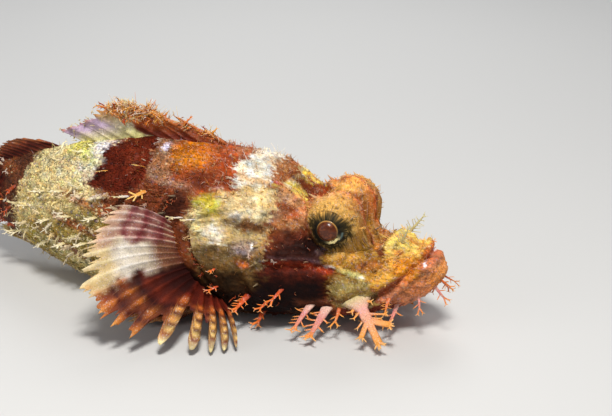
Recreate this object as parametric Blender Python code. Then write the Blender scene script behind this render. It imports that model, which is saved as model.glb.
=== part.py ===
"""A scorpionfish at rest on its belly, life size, as one still model.

Metres, +Z up. The fish heads along +X, its right side faces -Y and the floor is z = 0.
The body is drawn straight first, in fish coordinates: t runs backwards from the tip of the
upper lip, y to the fish's left and z up from the floor. bend() then turns the rear of the
body and the tail to the fish's left.
"""

import math
import random

import bmesh
import bpy
import numpy as np
from mathutils import Matrix

MM = 0.001

# The place of the lip's tip, which puts the whole fish's box over the origin.
LIP_X = 87.9 * MM
MIDLINE_Y = 0.0

# Lengths along the fish, behind the tip of the upper lip.
JAW_TIP = -5.0 * MM
BODY_LENGTH = 160.0 * MM
TAIL_FIN_END = 197.0 * MM
BEND_START = 84.0 * MM
TAIL_TURN = math.radians(52.0)
TURN_GROWTH = 1.15

# The gap that touching nodes keep, and the depth that roots are sunk.
GAP = 0.3 * MM
SUNK = 1.6 * MM

# Each row is a cross-section, in millimetres: distance behind the lip, top of the midline,
# underside, half width, height of the widest level, then the roundness above and below
# that level, where 2 is an ellipse, less is pointed and more is boxy.
SECTIONS = (
    (-5.0, 21.4, 13.6, 5.6, 18.0, 2.3, 2.2),
    (-1.0, 23.8, 11.0, 7.6, 18.0, 2.3, 2.2),
    (3.0, 24.9, 8.6, 9.2, 17.5, 2.0, 2.2),
    (9.0, 26.4, 5.6, 11.2, 16.5, 1.9, 2.3),
    (14.5, 24.6, 4.0, 13.4, 15.5, 1.9, 2.4),
    (20.0, 27.0, 3.2, 15.4, 15.5, 1.95, 2.5),
    (26.0, 31.0, 2.6, 17.4, 16.0, 1.9, 2.5),
    (33.0, 35.6, 1.8, 19.2, 16.5, 1.8, 2.5),
    (40.0, 40.4, 0.8, 20.6, 17.0, 1.8, 2.5),
    (48.0, 44.6, -0.2, 21.6, 17.5, 1.8, 2.6),
    (56.0, 46.4, -0.7, 22.0, 18.0, 1.8, 2.6),
    (68.0, 47.2, -0.9, 21.0, 18.5, 1.75, 2.6),
    (84.0, 46.9, -0.6, 19.0, 19.5, 1.75, 2.5),
    (100.0, 43.9, 0.6, 16.0, 20.0, 1.8, 2.3),
    (114.0, 39.6, 3.0, 12.4, 20.5, 1.9, 2.1),
    (128.0, 34.2, 6.6, 8.8, 20.5, 2.0, 2.0),
    (144.0, 29.0, 10.8, 5.8, 20.0, 2.0, 2.0),
    (160.0, 27.6, 11.2, 4.4, 19.4, 2.0, 2.0),
)
NOSE_CAP = 6.0 * MM
TAIL_CAP = 4.0 * MM
CAP_START = 0.24
CAP_RINGS = 4
SIDES_AROUND = 38
TOP_CROWDING = 0.3
HEAD_STEP = 2.4 * MM
BODY_STEP = 5.4 * MM
HEAD_END = 74.0 * MM
RING_STEP = 0.4 * MM
RING_SIDES = 240

# The eye and the dome of skin that it sits in.
EYE_AT = (25.6 * MM, 10.6 * MM, 31.2 * MM)
EYE_RADIUS = 6.4 * MM
IRIS_RADIUS = 5.8 * MM
PUPIL_RADIUS = 3.1 * MM
PUPIL_RISE = 0.35 * MM
IRIS_DIP = 0.3 * MM
DOME_AT = (25.6 * MM, 9.0 * MM, 31.2 * MM)
DOME_RADIUS = 8.2 * MM
DOME_BLEND = 2.4 * MM
ORBIT_START = 1.5 * MM
ORBIT_RADII = (5.5 * MM, 8.6 * MM)
ORBIT_DEPTH = 9.5 * MM

# The line of the mouth in side view, from its front to its corner: t and z.
MOUTH_LINE = (
    (-2.6, 23.8), (0.6, 22.3), (3.4, 19.4), (6.8, 16.3),
    (10.3, 13.2), (14.0, 10.4), (18.0, 8.4), (22.5, 7.2),
)
# The depth and half width of the groove, then the height and half width of the lips beside it.
MOUTH_GROOVE = (1.1 * MM, 0.9 * MM)
LIP_RISE = (0.8 * MM, 1.3 * MM)
LIP_AWAY = 1.9 * MM
LIP_BELOW = 4.0 * MM

# Ridges and hollows of the head: the view that they are drawn in, their points in that
# view, how far they rise and their half width. Side is t and z, top is t and |y|.
HEAD_RIDGES = (
    ("side", ((23.0, 23.2), (34.0, 23.6), (47.0, 23.4)), 1.5, 1.5),
    ("side", ((24.0, 20.0), (33.0, 20.2), (44.0, 19.8)), -1.1, 1.7),
    ("side", ((44.5, 34.0), (48.5, 28.0), (49.0, 20.0), (45.0, 12.0), (37.0, 8.0)), 1.1, 1.3),
    ("side", ((53.0, 34.5), (59.0, 33.0), (65.0, 31.0)), 1.2, 1.2),
    ("side", ((7.0, 18.6), (12.0, 16.6), (17.0, 15.0), (21.5, 13.6)), 1.3, 2.0),
    ("side", ((24.0, 17.0), (24.8, 13.0), (23.0, 9.5)), -1.0, 1.0),
    ("side", ((11.0, 23.5), (17.0, 24.5)), 0.7, 1.8),
    ("side", ((6.0, 12.5), (14.0, 9.8), (22.0, 7.8)), 0.7, 1.5),
    ("top", ((31.5, 7.6), (37.0, 7.4), (44.0, 8.4), (50.0, 9.6)), 1.5, 1.2),
    ("top", ((30.0, 0.0), (38.0, 0.0)), -1.4, 3.2),
    ("top", ((14.0, 4.6), (19.0, 5.6), (25.0, 6.2)), 1.0, 1.1),
    ("top", ((15.0, 0.0), (24.0, 0.0)), -0.7, 2.4),
    ("top", ((6.5, 2.9), (10.0, 3.3)), 0.9, 1.5),
)

# The gill cover, in side view, and how deep it goes into the head.
GILL_COVER = (
    (50.0, 35.5), (55.5, 38.0), (60.5, 36.0), (64.0, 32.0), (66.0, 27.0), (63.4, 20.5),
    (58.6, 14.0), (54.0, 9.8), (49.6, 8.8), (48.2, 13.0), (49.6, 20.0), (50.0, 28.0),
)
GILL_COVER_INNER = 14.0 * MM
GILL_RISE = 0.9 * MM
GILL_EDGE = 0.9 * MM

# The head in side view, from the throat round the gill opening to the nape.
HEAD_OUTLINE = (
    (-30.0, -12.0), (51.0, -12.0), (54.6, 4.0), (60.4, 11.5), (65.6, 20.0),
    (68.2, 28.0), (66.0, 35.0), (61.0, 42.0), (55.0, 49.0), (53.0, 70.0), (-30.0, 70.0),
)
JAW_OUTLINE = ((-30.0, 38.0), *MOUTH_LINE, (25.5, 5.4), (27.0, -12.0), (-30.0, -12.0))
STALK_CUT = 111.0 * MM

# The fins' rays: how far a ray and the web beside it are thick, at the root and at the tip.
RAY_HALF = (0.95 * MM, 0.40 * MM)
WEB_HALF = (0.80 * MM, 0.26 * MM)
FLOOR_CLEAR = 1.0 * MM

# The spiny fin of the back: where it starts, the step between its spines, their lengths
# and how far they stand up from the line of the back.
BACK_SPINES_START = 57.0 * MM
BACK_SPINE_STEP = 4.3 * MM
BACK_SPINE_LENGTHS = (12.0, 18.0, 22.0, 23.0, 22.5, 21.0, 19.0, 17.0, 15.0, 13.5, 12.0, 11.0)
BACK_SPINE_RAISED = math.radians(25.0)

# The soft fin of the back, the fin under the tail and the tail fin.
SOFT_START = 113.6 * MM
SOFT_STEP = 2.5 * MM
SOFT_LENGTHS = (11.0, 15.0, 17.0, 17.5, 17.0, 16.0, 15.0, 13.0, 11.0, 9.0)
SOFT_RAISED = (math.radians(15.0), math.radians(8.0))
UNDER_START = 117.0 * MM
UNDER_STEP = 2.1 * MM
UNDER_LENGTHS = (6.0, 9.5, 10.5, 14.0, 16.0, 16.0, 14.0, 11.0)
UNDER_LOWERED = math.radians(7.0)
TAIL_RAYS = 13
TAIL_ROOT = (157.6 * MM, 13.6 * MM, 25.4 * MM)
TAIL_TIPS = (4.6 * MM, 35.4 * MM)
TAIL_CORNER = 8.0 * MM

# The breast fin: its root line, and the run of its rays from the top of the fan to the
# bottom as millimetres backwards, outwards and upwards.
BREAST_RAYS = 17
BREAST_ROOT_TOP = (69.8 * MM, 26.0 * MM)
BREAST_ROOT_LOW = (59.4 * MM, 7.5 * MM)
BREAST_FAN = (
    (14.0, 9.0, 9.0), (18.0, 15.0, 7.5), (20.5, 22.0, 3.5), (18.0, 27.5, -2.0),
    (10.0, 29.9, -8.0), (-9.5, 21.9, -9.5), (-15.0, 16.8, -6.5),
)
BREAST_BOW = 3.0 * MM
# Where on the fan the lowest rays start to bow forwards, and how far the last one does.
BREAST_SWEPT = (0.7, 3.0 * MM)
# How far the webs reach, where on the fan they start to be cut back, and how fast.
BREAST_WEB = (0.93, 0.6, 1.2)

# The belly fin, spread on the floor.
BELLY_ROOT = (61.0 * MM, 67.0 * MM)
BELLY_TURN = math.radians(135.0)
BELLY_LENGTHS = (13.0, 19.0, 22.0, 23.0, 21.0, 17.0)
BELLY_SPREAD = (math.radians(58.0), math.radians(22.0))

# Spines of the head and shoulder, one side: node, t, the side height ("z") or the distance
# from the midline on top ("y"), length, and direction as backwards, outwards, upwards.
HEAD_SPINES = (
    ("head", 7.5, "y", 3.2, 1.8, (0.8, 0.2, 1.0)),
    ("head", 19.0, "y", 6.4, 2.2, (0.4, 0.5, 1.0)),
    ("head", 24.5, "y", 8.2, 2.6, (1.0, 0.2, 0.9)),
    ("head", 31.2, "y", 8.4, 2.6, (1.0, 0.2, 0.6)),
    ("head", 35.5, "y", 7.4, 2.4, (1.0, 0.1, 0.7)),
    ("head", 40.5, "y", 7.8, 2.8, (1.0, 0.1, 0.6)),
    ("head", 45.5, "y", 8.8, 2.8, (1.0, 0.1, 0.5)),
    ("head", 38.5, "z", 32.0, 2.2, (1.0, 0.7, 0.2)),
    ("head", 44.5, "z", 34.0, 2.4, (1.0, 0.7, 0.2)),
    ("head", 49.5, "z", 40.0, 2.4, (1.0, 0.5, 0.4)),
    ("head", 28.0, "z", 23.0, 2.0, (1.0, 0.8, 0.0)),
    ("head", 35.0, "z", 23.2, 2.4, (1.0, 0.8, 0.0)),
    ("head", 41.0, "z", 23.0, 2.2, (1.0, 0.8, 0.0)),
    ("head", 44.6, "z", 25.5, 3.2, (0.8, 1.0, 0.1)),
    ("head", 45.6, "z", 20.0, 2.4, (0.6, 1.0, -0.1)),
    ("head", 44.4, "z", 14.5, 2.0, (0.6, 1.0, -0.3)),
    ("head", 40.0, "z", 9.6, 1.8, (0.5, 1.0, -0.4)),
    ("head", 9.6, "z", 16.4, 1.8, (-0.2, 1.0, -0.3)),
    ("gill_cover", 60.5, "z", 33.0, 3.4, (1.0, 0.6, 0.1)),
    ("gill_cover", 61.5, "z", 28.0, 2.8, (1.0, 0.7, 0.0)),
    ("trunk", 71.8, "z", 35.0, 2.4, (1.0, 0.6, 0.1)),
    ("trunk", 74.0, "z", 30.5, 2.4, (1.0, 0.7, 0.1)),
)
SPINE_BASE = 0.30
SPINE_BASE_LEAST = 0.25 * MM
SPINE_TIP = 0.12 * MM
SPINE_SCATTER = (0.9, 1.1)

# Where a peg's middle ring lies and how far it has tapered, and a direction that no peg has.
PEG_MIDDLE = (0.5, 0.45)
PEG_ACROSS = (0.31, 0.87, 0.39)

# Branched flaps of skin, one side: node, t, "z" or "y" as above, length, half width, teeth
# on each edge, and direction as backwards, outwards, upwards.
FLAPS = (
    ("head", 16.4, "z", 12.2, 15.0, 3.0, 3, (-0.30, 0.62, -0.72)),
    ("head", 28.2, "z", 9.0, 8.0, 1.1, 3, (0.4, 0.75, -0.55)),
    ("head", 24.4, "z", 8.6, 9.0, 1.3, 3, (0.2, 0.72, -0.6)),
    ("head", 37.0, "z", 15.6, 6.0, 1.2, 1, (0.3, 0.8, -0.5)),
    ("head", 44.0, "z", 11.5, 7.0, 1.2, 2, (0.3, 0.8, -0.55)),
    ("head", 6.4, "y", 4.2, 7.0, 1.5, 2, (-0.66, 0.2, 0.7)),
    ("head", 1.6, "y", 2.6, 3.0, 0.6, 1, (-0.8, 0.3, 0.5)),
    ("head", 27.5, "y", 9.0, 4.6, 0.9, 1, (0.3, 0.3, 0.9)),
    ("head", 30.5, "z", 19.6, 3.0, 0.8, 1, (0.4, 0.9, -0.2)),
    ("lower_jaw", 19.6, "z", 5.6, 5.6, 0.9, 1, (-0.1, 0.85, -0.4)),
    ("lower_jaw", 12.5, "z", 7.0, 7.0, 1.0, 1, (0.1, 0.75, -0.6)),
    ("lower_jaw", 6.4, "z", 9.4, 7.6, 1.0, 3, (0.0, 0.6, -0.8)),
    ("lower_jaw", 7.0, "z", 13.4, 4.6, 0.8, 1, (0.0, 0.8, -0.5)),
    ("lower_jaw", 1.0, "z", 11.8, 6.6, 0.8, 1, (-0.3, 0.5, -0.8)),
    ("lower_jaw", -2.8, "z", 14.2, 7.0, 0.8, 3, (-0.62, 0.3, -0.72)),
    ("gill_cover", 63.4, "z", 30.6, 4.6, 0.9, 1, (0.8, 0.6, 0.1)),
    ("gill_cover", 56.0, "z", 18.0, 4.0, 0.8, 1, (0.5, 0.85, -0.2)),
    ("gill_cover", 55.5, "z", 12.4, 4.4, 0.9, 1, (0.5, 0.8, -0.3)),
    ("trunk", 80.0, "z", 33.0, 5.0, 1.0, 1, (0.6, 0.8, 0.1)),
    ("trunk", 87.0, "z", 31.6, 5.0, 1.0, 1, (0.6, 0.8, 0.0)),
    ("trunk", 94.0, "z", 30.4, 4.6, 1.0, 1, (0.6, 0.8, 0.1)),
    ("trunk", 101.0, "z", 29.0, 4.6, 0.9, 1, (0.6, 0.8, 0.0)),
    ("trunk", 107.4, "z", 27.6, 4.2, 0.9, 1, (0.6, 0.8, 0.1)),
    ("trunk", 84.0, "z", 39.6, 5.4, 0.7, 1, (0.3, 0.8, 0.4)),
    ("trunk", 97.0, "z", 15.0, 4.2, 0.9, 1, (0.6, 0.8, -0.1)),
    ("trunk", 105.0, "z", 18.5, 4.0, 0.9, 1, (0.6, 0.8, 0.0)),
    ("tail_stalk", 116.0, "z", 25.8, 4.2, 0.9, 1, (0.7, 0.7, 0.1)),
    ("tail_stalk", 124.0, "z", 24.0, 4.0, 0.9, 1, (0.7, 0.7, 0.0)),
    ("tail_stalk", 133.0, "z", 22.0, 3.6, 0.8, 1, (0.7, 0.7, 0.1)),
    ("tail_stalk", 143.0, "z", 20.6, 3.2, 0.8, 1, (0.7, 0.7, 0.0)),
)
FLAP_HALF = (0.42 * MM, 0.27 * MM)
FLAP_CURL = 0.16
FLAP_SCATTER = (0.92, 1.04)
FLAP_FLOOR = 0.7 * MM
FIN_FLAP_LENGTH = 4.4 * MM

# The outline of a flap. Shares of its length: where the teeth start, how far they spread
# along it, their own length, less for many teeth, and their reach. Shares of its half
# width: the root, the stem where the teeth start, how it narrows, the teeth's reach and the
# tip.
TOOTH_START, TOOTH_SPREAD, TOOTH_OFFSET = 0.22, 0.66, 0.35
TOOTH_LONG, TOOTH_LONG_EACH, TOOTH_REACH = 0.12, 0.14, 0.10
STEM_ROOT, STEM_WIDE, STEM_NARROWS, TOOTH_WIDE, STEM_TIP = 0.8, 0.75, 0.5, 0.9, 0.22

# The small round pits of the nose: t and distance from the midline.
NOSTRILS = ((8.6, 4.9), (15.6, 5.2))
NOSTRIL_RADIUS = 0.75 * MM

RANDOM_SEED = 11

def table_curve(rows, column):
    """A smooth curve through one column of a table, against its first column."""
    at = np.array([row[0] for row in rows]) * MM
    values = np.array([row[column] for row in rows], float)
    rise = np.diff(values) / np.diff(at)
    slope = np.zeros(len(at))
    slope[0], slope[-1] = rise[0], rise[-1]
    before, after = rise[:-1], rise[1:]
    turns = before * after <= 0
    slope[1:-1] = np.where(turns, 0.0, 2 * before * after / np.where(turns, 1.0, before + after))

    def value(t):
        t = np.clip(t, at[0], at[-1])
        i = np.clip(np.searchsorted(at, t, side="right") - 1, 0, len(at) - 2)
        step = at[i + 1] - at[i]
        u = (t - at[i]) / step
        return (
            values[i] * (1 + 2 * u) * (1 - u) ** 2
            + slope[i] * step * u * (1 - u) ** 2
            + values[i + 1] * u * u * (3 - 2 * u)
            + slope[i + 1] * step * u * u * (u - 1)
        )

    return value


def in_metres(curve):
    return lambda t: curve(t) * MM


TOP, UNDER, HALF_WIDTH, WIDEST = (in_metres(table_curve(SECTIONS, c)) for c in (1, 2, 3, 4))
ROUND_ABOVE, ROUND_BELOW = (table_curve(SECTIONS, c) for c in (5, 6))


def smoothstep(u):
    u = np.clip(u, 0.0, 1.0)
    return u * u * (3 - 2 * u)


def smooth_max(a, b, blend):
    return (a + b + np.sqrt((a - b) ** 2 + blend**2)) / 2


def end_caps(t):
    """How far a section has opened from the rounded ends of the body, from 0 to 1."""
    nose = np.clip((t - JAW_TIP) / NOSE_CAP, 0, 1)
    tail = np.clip((BODY_LENGTH - t) / TAIL_CAP, 0, 1)
    return np.sqrt(np.maximum(1 - (1 - nose) ** 2, 0)) * np.sqrt(np.maximum(1 - (1 - tail) ** 2, 0))


def ball_reach(t, sine, cosine, level, ball, radius):
    """How far a ball pushes the surface out along each ray of a section."""
    across, up = ball[1], ball[2] - level
    along = np.abs(sine) * across + cosine * up
    inside = along**2 - (across**2 + up**2) + radius**2 - (t - ball[0]) ** 2
    return along + np.sqrt(np.maximum(inside, 0)) - 1.6 * np.sqrt(np.maximum(-inside, 0))


def plain_body(t, turn):
    """Points of the body before its small features. turn is 0 at the top and positive to the left."""
    opened = end_caps(t)
    level = WIDEST(t)
    sine, cosine = np.sin(turn), np.cos(turn)
    above = cosine >= 0
    power = np.where(above, ROUND_ABOVE(t), ROUND_BELOW(t))
    height = np.where(above, TOP(t) - level, level - UNDER(t)) * opened
    width = HALF_WIDTH(t) * opened
    small = 1e-9
    reach = (
        (np.abs(sine) / (width + small)) ** power + (np.abs(cosine) / (height + small)) ** power
    ) ** (-1 / power)
    dome = ball_reach(t, sine, cosine, level, DOME_AT, DOME_RADIUS)
    apart = np.maximum(np.abs(reach - dome), DOME_BLEND)
    domed = smooth_max(reach, dome, DOME_BLEND) - DOME_BLEND**2 / 4 / apart
    near_dome = smoothstep((DOME_RADIUS + 8 * MM - np.abs(t - DOME_AT[0])) / (5 * MM))
    reach = reach + (np.maximum(domed, reach) - reach) * near_dome
    return np.stack([t, reach * sine, level + reach * cosine], -1)


def grid_normals(points):
    """Normals of a closed ring grid, pointing out. Rings run along axis 0."""
    along = np.gradient(points, axis=0)
    around = (np.roll(points, -1, axis=1) - np.roll(points, 1, axis=1)) / 2
    normals = np.cross(along, around)
    length = np.linalg.norm(normals, axis=-1, keepdims=True)
    return normals / np.maximum(length, 1e-12)


def distance_to_line(u, v, line):
    """The distance in a flat view from each point to a line of points given in millimetres."""
    nearest = np.full(u.shape, 1e9)
    for (u0, v0), (u1, v1) in zip(line[:-1], line[1:]):
        du, dv = (u1 - u0) * MM, (v1 - v0) * MM
        share = np.clip(((u - u0 * MM) * du + (v - v0 * MM) * dv) / (du * du + dv * dv), 0, 1)
        gap = np.hypot(u - u0 * MM - share * du, v - v0 * MM - share * dv)
        nearest = np.minimum(nearest, gap)
    return nearest


def mouth_side(t, z):
    """The height above the mouth's line: positive on the upper jaw."""
    at = np.array([p[0] for p in MOUTH_LINE]) * MM
    level = np.array([p[1] for p in MOUTH_LINE]) * MM
    return z - np.interp(t, at, level)


def gill_edge_at(z):
    """The t of the gill cover's rear edge at each height."""
    rear = sorted(p[::-1] for p in GILL_COVER[2:9])
    return np.interp(z, [p[0] * MM for p in rear], [p[1] * MM for p in rear])


def feature_rise(points, normals):
    """How far the small features lift the skin along its normal."""
    t, y, z = points[..., 0], np.abs(points[..., 1]), points[..., 2]
    faces_side = smoothstep((np.abs(normals[..., 1]) - 0.15) / 0.3)
    faces_up = smoothstep((normals[..., 2] - 0.1) / 0.3)
    rise = np.zeros(t.shape)
    for view, line, height, half_width in HEAD_RIDGES:
        if view == "side":
            gap, seen = distance_to_line(t, z, line), faces_side
        else:
            gap, seen = distance_to_line(t, y, line), faces_up
        rise += height * MM * np.exp(-((gap / (half_width * MM)) ** 2)) * seen
    to_mouth = distance_to_line(t, z, MOUTH_LINE)
    side = mouth_side(t, z)
    rise -= MOUTH_GROOVE[0] * np.exp(-((to_mouth / MOUTH_GROOVE[1]) ** 2))
    rise += LIP_RISE[0] * np.exp(-(((to_mouth - LIP_AWAY) / LIP_RISE[1]) ** 2)) * (side > -LIP_BELOW)
    cover = smoothstep((gill_edge_at(z) - t) / GILL_EDGE) * smoothstep((t - 47 * MM) / (6 * MM))
    in_height = smoothstep((z - 9 * MM) / (3 * MM)) * smoothstep((38 * MM - z) / (2 * MM))
    rise += GILL_RISE * cover * in_height * faces_side
    return rise


def body_grid(along, around, off=0.0):
    """The skin's points as a ring grid in fish coordinates, lifted off by a fixed amount."""
    t, turn = np.meshgrid(along, around, indexing="ij")
    points = plain_body(t, turn)
    normals = grid_normals(points)
    points = points + normals * feature_rise(points, normals)[..., None]
    return points + grid_normals(points) * off


def spine_table():
    """The midline in plan, and its heading, at small steps behind the lip."""
    at = np.linspace(JAW_TIP - 5 * MM, TAIL_FIN_END + 12 * MM, 800)
    share = np.clip((at - BEND_START) / (TAIL_FIN_END - BEND_START), 0, 1.2)
    heading = TAIL_TURN * share**TURN_GROWTH
    step = np.diff(at, prepend=at[0])
    x = LIP_X - at[0] - np.cumsum(np.cos(heading) * step)
    y = MIDLINE_Y + np.cumsum(np.sin(heading) * step)
    return at, x, y, heading


SPINE = spine_table()


def bend(points):
    """Fish coordinates to the model's own frame."""
    points = np.asarray(points, float)
    t, y, z = points[..., 0], points[..., 1], points[..., 2]
    at, x, middle, heading = SPINE
    turn = np.interp(t, at, heading)
    return np.stack(
        [np.interp(t, at, x) + y * np.sin(turn), np.interp(t, at, middle) + y * np.cos(turn), z], -1
    )


def new_object(name, points, faces, colour=None, smooth=True):
    mesh = bpy.data.meshes.new(name)
    mesh.from_pydata([tuple(map(float, p)) for p in points], [], faces)
    mesh.validate()
    obj = bpy.data.objects.new(name, mesh)
    bpy.context.scene.collection.objects.link(obj)
    work = bmesh.new()
    work.from_mesh(mesh)
    bmesh.ops.recalc_face_normals(work, faces=work.faces)
    if work.calc_volume(signed=True) < 0:
        bmesh.ops.reverse_faces(work, faces=work.faces)
    work.to_mesh(mesh)
    work.free()
    if smooth:
        mesh.shade_smooth()
    if colour is not None:
        obj.data.materials.append(material(name, colour))
    return obj


def material(name, colour, roughness=0.55):
    """A plain finish for one node."""
    made = bpy.data.materials.new(name)
    made.use_nodes = True
    shader = made.node_tree.nodes["Principled BSDF"]
    shader.inputs["Base Color"].default_value = (*colour, 1.0)
    shader.inputs["Roughness"].default_value = roughness
    shader.inputs["Metallic"].default_value = 0.0
    return made


def body_stations():
    """Where the rings of the body are: close together at the rounded ends and on the head."""
    turns = np.linspace(CAP_START, math.pi / 2, CAP_RINGS)
    nose = JAW_TIP + NOSE_CAP * (1 - np.cos(turns))
    head = np.arange(nose[-1] + HEAD_STEP, HEAD_END, HEAD_STEP)
    tail_start = BODY_LENGTH - TAIL_CAP
    trunk = np.linspace(head[-1] + BODY_STEP, tail_start, round((tail_start - HEAD_END) / BODY_STEP))
    tail = BODY_LENGTH - TAIL_CAP * (1 - np.cos(turns[::-1][1:]))
    return np.concatenate([nose, head, trunk, tail])


def whole_body(name, off=0.0):
    """The body as one closed mesh, from the tip of the jaw to the root of the tail fin."""
    around = np.arange(SIDES_AROUND) * 2 * math.pi / SIDES_AROUND
    around = around - TOP_CROWDING * np.sin(around)
    grid = body_grid(body_stations(), around, off)
    rings, sides = grid.shape[:2]
    nose = [[JAW_TIP - off, 0, WIDEST(np.array(JAW_TIP))]]
    tail = [[BODY_LENGTH + off, 0, WIDEST(np.array(BODY_LENGTH))]]
    points = np.concatenate([grid.reshape(-1, 3), nose, tail])
    faces = []
    for i in range(rings - 1):
        for j in range(sides):
            k = (j + 1) % sides
            faces.append((i * sides + j, i * sides + k, (i + 1) * sides + k, (i + 1) * sides + j))
    first, last = rings * sides, rings * sides + 1
    for j in range(sides):
        k = (j + 1) % sides
        faces.append((first, k, j))
        faces.append((last, (rings - 1) * sides + j, (rings - 1) * sides + k))
    return new_object(name, bend(points), faces)


def slab(name, points, normals, half, faces, colour=None):
    """A thin closed solid: the same triangles on both faces, and a wall round the rim."""
    points, normals = np.asarray(points, float), np.asarray(normals, float)
    half = np.broadcast_to(np.asarray(half, float), (len(points),))[:, None]
    count = len(points)
    triangles = []
    for face in faces:
        triangles += [(face[0], face[i], face[i + 1]) for i in range(1, len(face) - 1)]
    edges = {}
    for a, b, c in triangles:
        for edge in ((a, b), (b, c), (c, a)):
            edges[edge] = edges.get(edge, 0) + 1
    made = list(triangles) + [(c + count, b + count, a + count) for a, b, c in triangles]
    for a, b in edges:
        if (b, a) not in edges:
            made += [(b, a, a + count), (b, a + count, b + count)]
    both = np.concatenate([points + normals * half, points - normals * half])
    return new_object(name, both, made, colour)


def ribbed_sheet(name, columns, half, colour=None):
    """A fin's membrane with its rays raised in it. columns is (rays, steps, 3) in fish coordinates."""
    columns = bend(columns)
    across, along = np.gradient(columns, axis=0), np.gradient(columns, axis=1)
    normals = np.cross(across, along)
    normals /= np.maximum(np.linalg.norm(normals, axis=-1, keepdims=True), 1e-12)
    rays, steps = columns.shape[:2]
    faces = []
    for i in range(rays - 1):
        for j in range(steps - 1):
            a, b = i * steps + j, (i + 1) * steps + j
            faces.append((a, b, b + 1, a + 1))
    return slab(name, columns.reshape(-1, 3), normals.reshape(-1, 3), half.ravel(), faces, colour)


def apply_modifiers(obj):
    bpy.context.view_layer.update()
    made = bpy.data.meshes.new_from_object(obj.evaluated_get(bpy.context.evaluated_depsgraph_get()))
    obj.modifiers.clear()
    old, obj.data = obj.data, made
    bpy.data.meshes.remove(old)


def combine(obj, pieces, operation, solver="EXACT"):
    """Fuses closed pieces into a node, or cuts them from it, in one step."""
    if pieces:
        group = bpy.data.collections.new(obj.name + "_pieces")
        bpy.context.scene.collection.children.link(group)
        for piece in pieces:
            bpy.context.scene.collection.objects.unlink(piece)
            group.objects.link(piece)
        step = obj.modifiers.new(operation.lower(), "BOOLEAN")
        step.operation = operation
        step.solver = solver
        step.operand_type = "COLLECTION"
        step.collection = group
        apply_modifiers(obj)
        for piece in list(group.objects):
            bpy.data.objects.remove(piece)
        bpy.data.collections.remove(group)
    keep_largest(obj)


def keep_largest(obj):
    """Drops loose scraps and sealed hollows: only the surface with the widest box stays."""
    work = bmesh.new()
    work.from_mesh(obj.data)
    bmesh.ops.dissolve_degenerate(work, dist=1e-7, edges=work.edges)
    left = set(work.verts)
    groups = []
    while left:
        start = left.pop()
        group, queue = [start], [start]
        while queue:
            for edge in queue.pop().link_edges:
                for vert in edge.verts:
                    if vert in left:
                        left.remove(vert)
                        group.append(vert)
                        queue.append(vert)
        groups.append(group)

    def spread(group):
        places = np.array([v.co for v in group])
        return float(np.prod(places.max(0) - places.min(0) + 1e-6))

    groups.sort(key=spread, reverse=True)
    for group in groups[1:]:
        bmesh.ops.delete(work, geom=group, context="VERTS")
    work.to_mesh(obj.data)
    work.free()


def cut_flat(obj, point, outward):
    """Cuts away what lies past a plane, and closes the cut."""
    work = bmesh.new()
    work.from_mesh(obj.data)
    found = bmesh.ops.bisect_plane(
        work, geom=work.verts[:] + work.edges[:] + work.faces[:], dist=1e-8,
        plane_co=tuple(point), plane_no=tuple(outward), clear_outer=True,
    )
    rim = [e for e in found["geom_cut"] if isinstance(e, bmesh.types.BMEdge) and e.is_boundary]
    bmesh.ops.edgeloop_fill(work, edges=rim)
    bmesh.ops.triangulate(work, faces=[f for f in work.faces if len(f.verts) > 4])
    bmesh.ops.recalc_face_normals(work, faces=work.faces)
    work.to_mesh(obj.data)
    work.free()


def side_prism(name, outline, y_from, y_to, grow=0.0):
    """A block over an outline drawn in side view, in millimetres, grown outwards by a gap."""
    flat = np.array(outline, float) * MM
    ahead, behind = np.roll(flat, -1, axis=0), np.roll(flat, 1, axis=0)
    along = ahead - behind
    out = np.stack([along[:, 1], -along[:, 0]], 1) / np.linalg.norm(along, axis=1)[:, None]
    area = (flat[:, 0] * ahead[:, 1] - ahead[:, 0] * flat[:, 1]).sum()
    flat = flat + out * grow * (1 if area > 0 else -1)
    count = len(flat)
    points = [bend((t, y, z)) for y in (y_from, y_to) for t, z in flat]
    faces = [tuple(range(count)), tuple(range(2 * count - 1, count - 1, -1))]
    faces += [(i, (i + 1) % count, (i + 1) % count + count, i + count) for i in range(count)]
    return new_object(name, points, faces, smooth=False)


def ball(name, centre, radius, segments=20, rings=12):
    """A closed ball with its poles along Y."""
    work = bmesh.new()
    bmesh.ops.create_uvsphere(work, u_segments=segments, v_segments=rings, radius=radius)
    bmesh.ops.rotate(work, verts=work.verts, matrix=Matrix.Rotation(math.pi / 2, 3, "X"))
    bmesh.ops.translate(work, verts=work.verts, vec=tuple(centre))
    mesh = bpy.data.meshes.new(name)
    work.to_mesh(mesh)
    work.free()
    mesh.shade_smooth()
    obj = bpy.data.objects.new(name, mesh)
    bpy.context.scene.collection.objects.link(obj)
    return obj


def cone(name, root, direction, length, base, tip, sides=4, sunk=SUNK):
    """A closed tapering peg from under the skin to its tip. base and tip are radii."""
    middle = base + (tip - base) * PEG_MIDDLE[1]
    direction = np.asarray(direction, float)
    direction = direction / np.linalg.norm(direction)
    side = np.cross(direction, PEG_ACROSS)
    side /= np.linalg.norm(side)
    up = np.cross(direction, side)
    start = np.asarray(root, float) - direction * sunk
    points = []
    for along, radius in ((0.0, base), (sunk + length * PEG_MIDDLE[0], middle), (sunk + length, tip)):
        for k in range(sides):
            turn = 2 * math.pi * k / sides
            outwards = side * math.cos(turn) + up * math.sin(turn)
            points.append(start + direction * along + outwards * radius)
    faces = [tuple(range(sides))[::-1], tuple(range(2 * sides, 3 * sides))]
    for ring in range(2):
        for k in range(sides):
            a, b = ring * sides + k, ring * sides + (k + 1) % sides
            faces.append((a, b, b + sides, a + sides))
    return new_object(name, points, faces)


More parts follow.
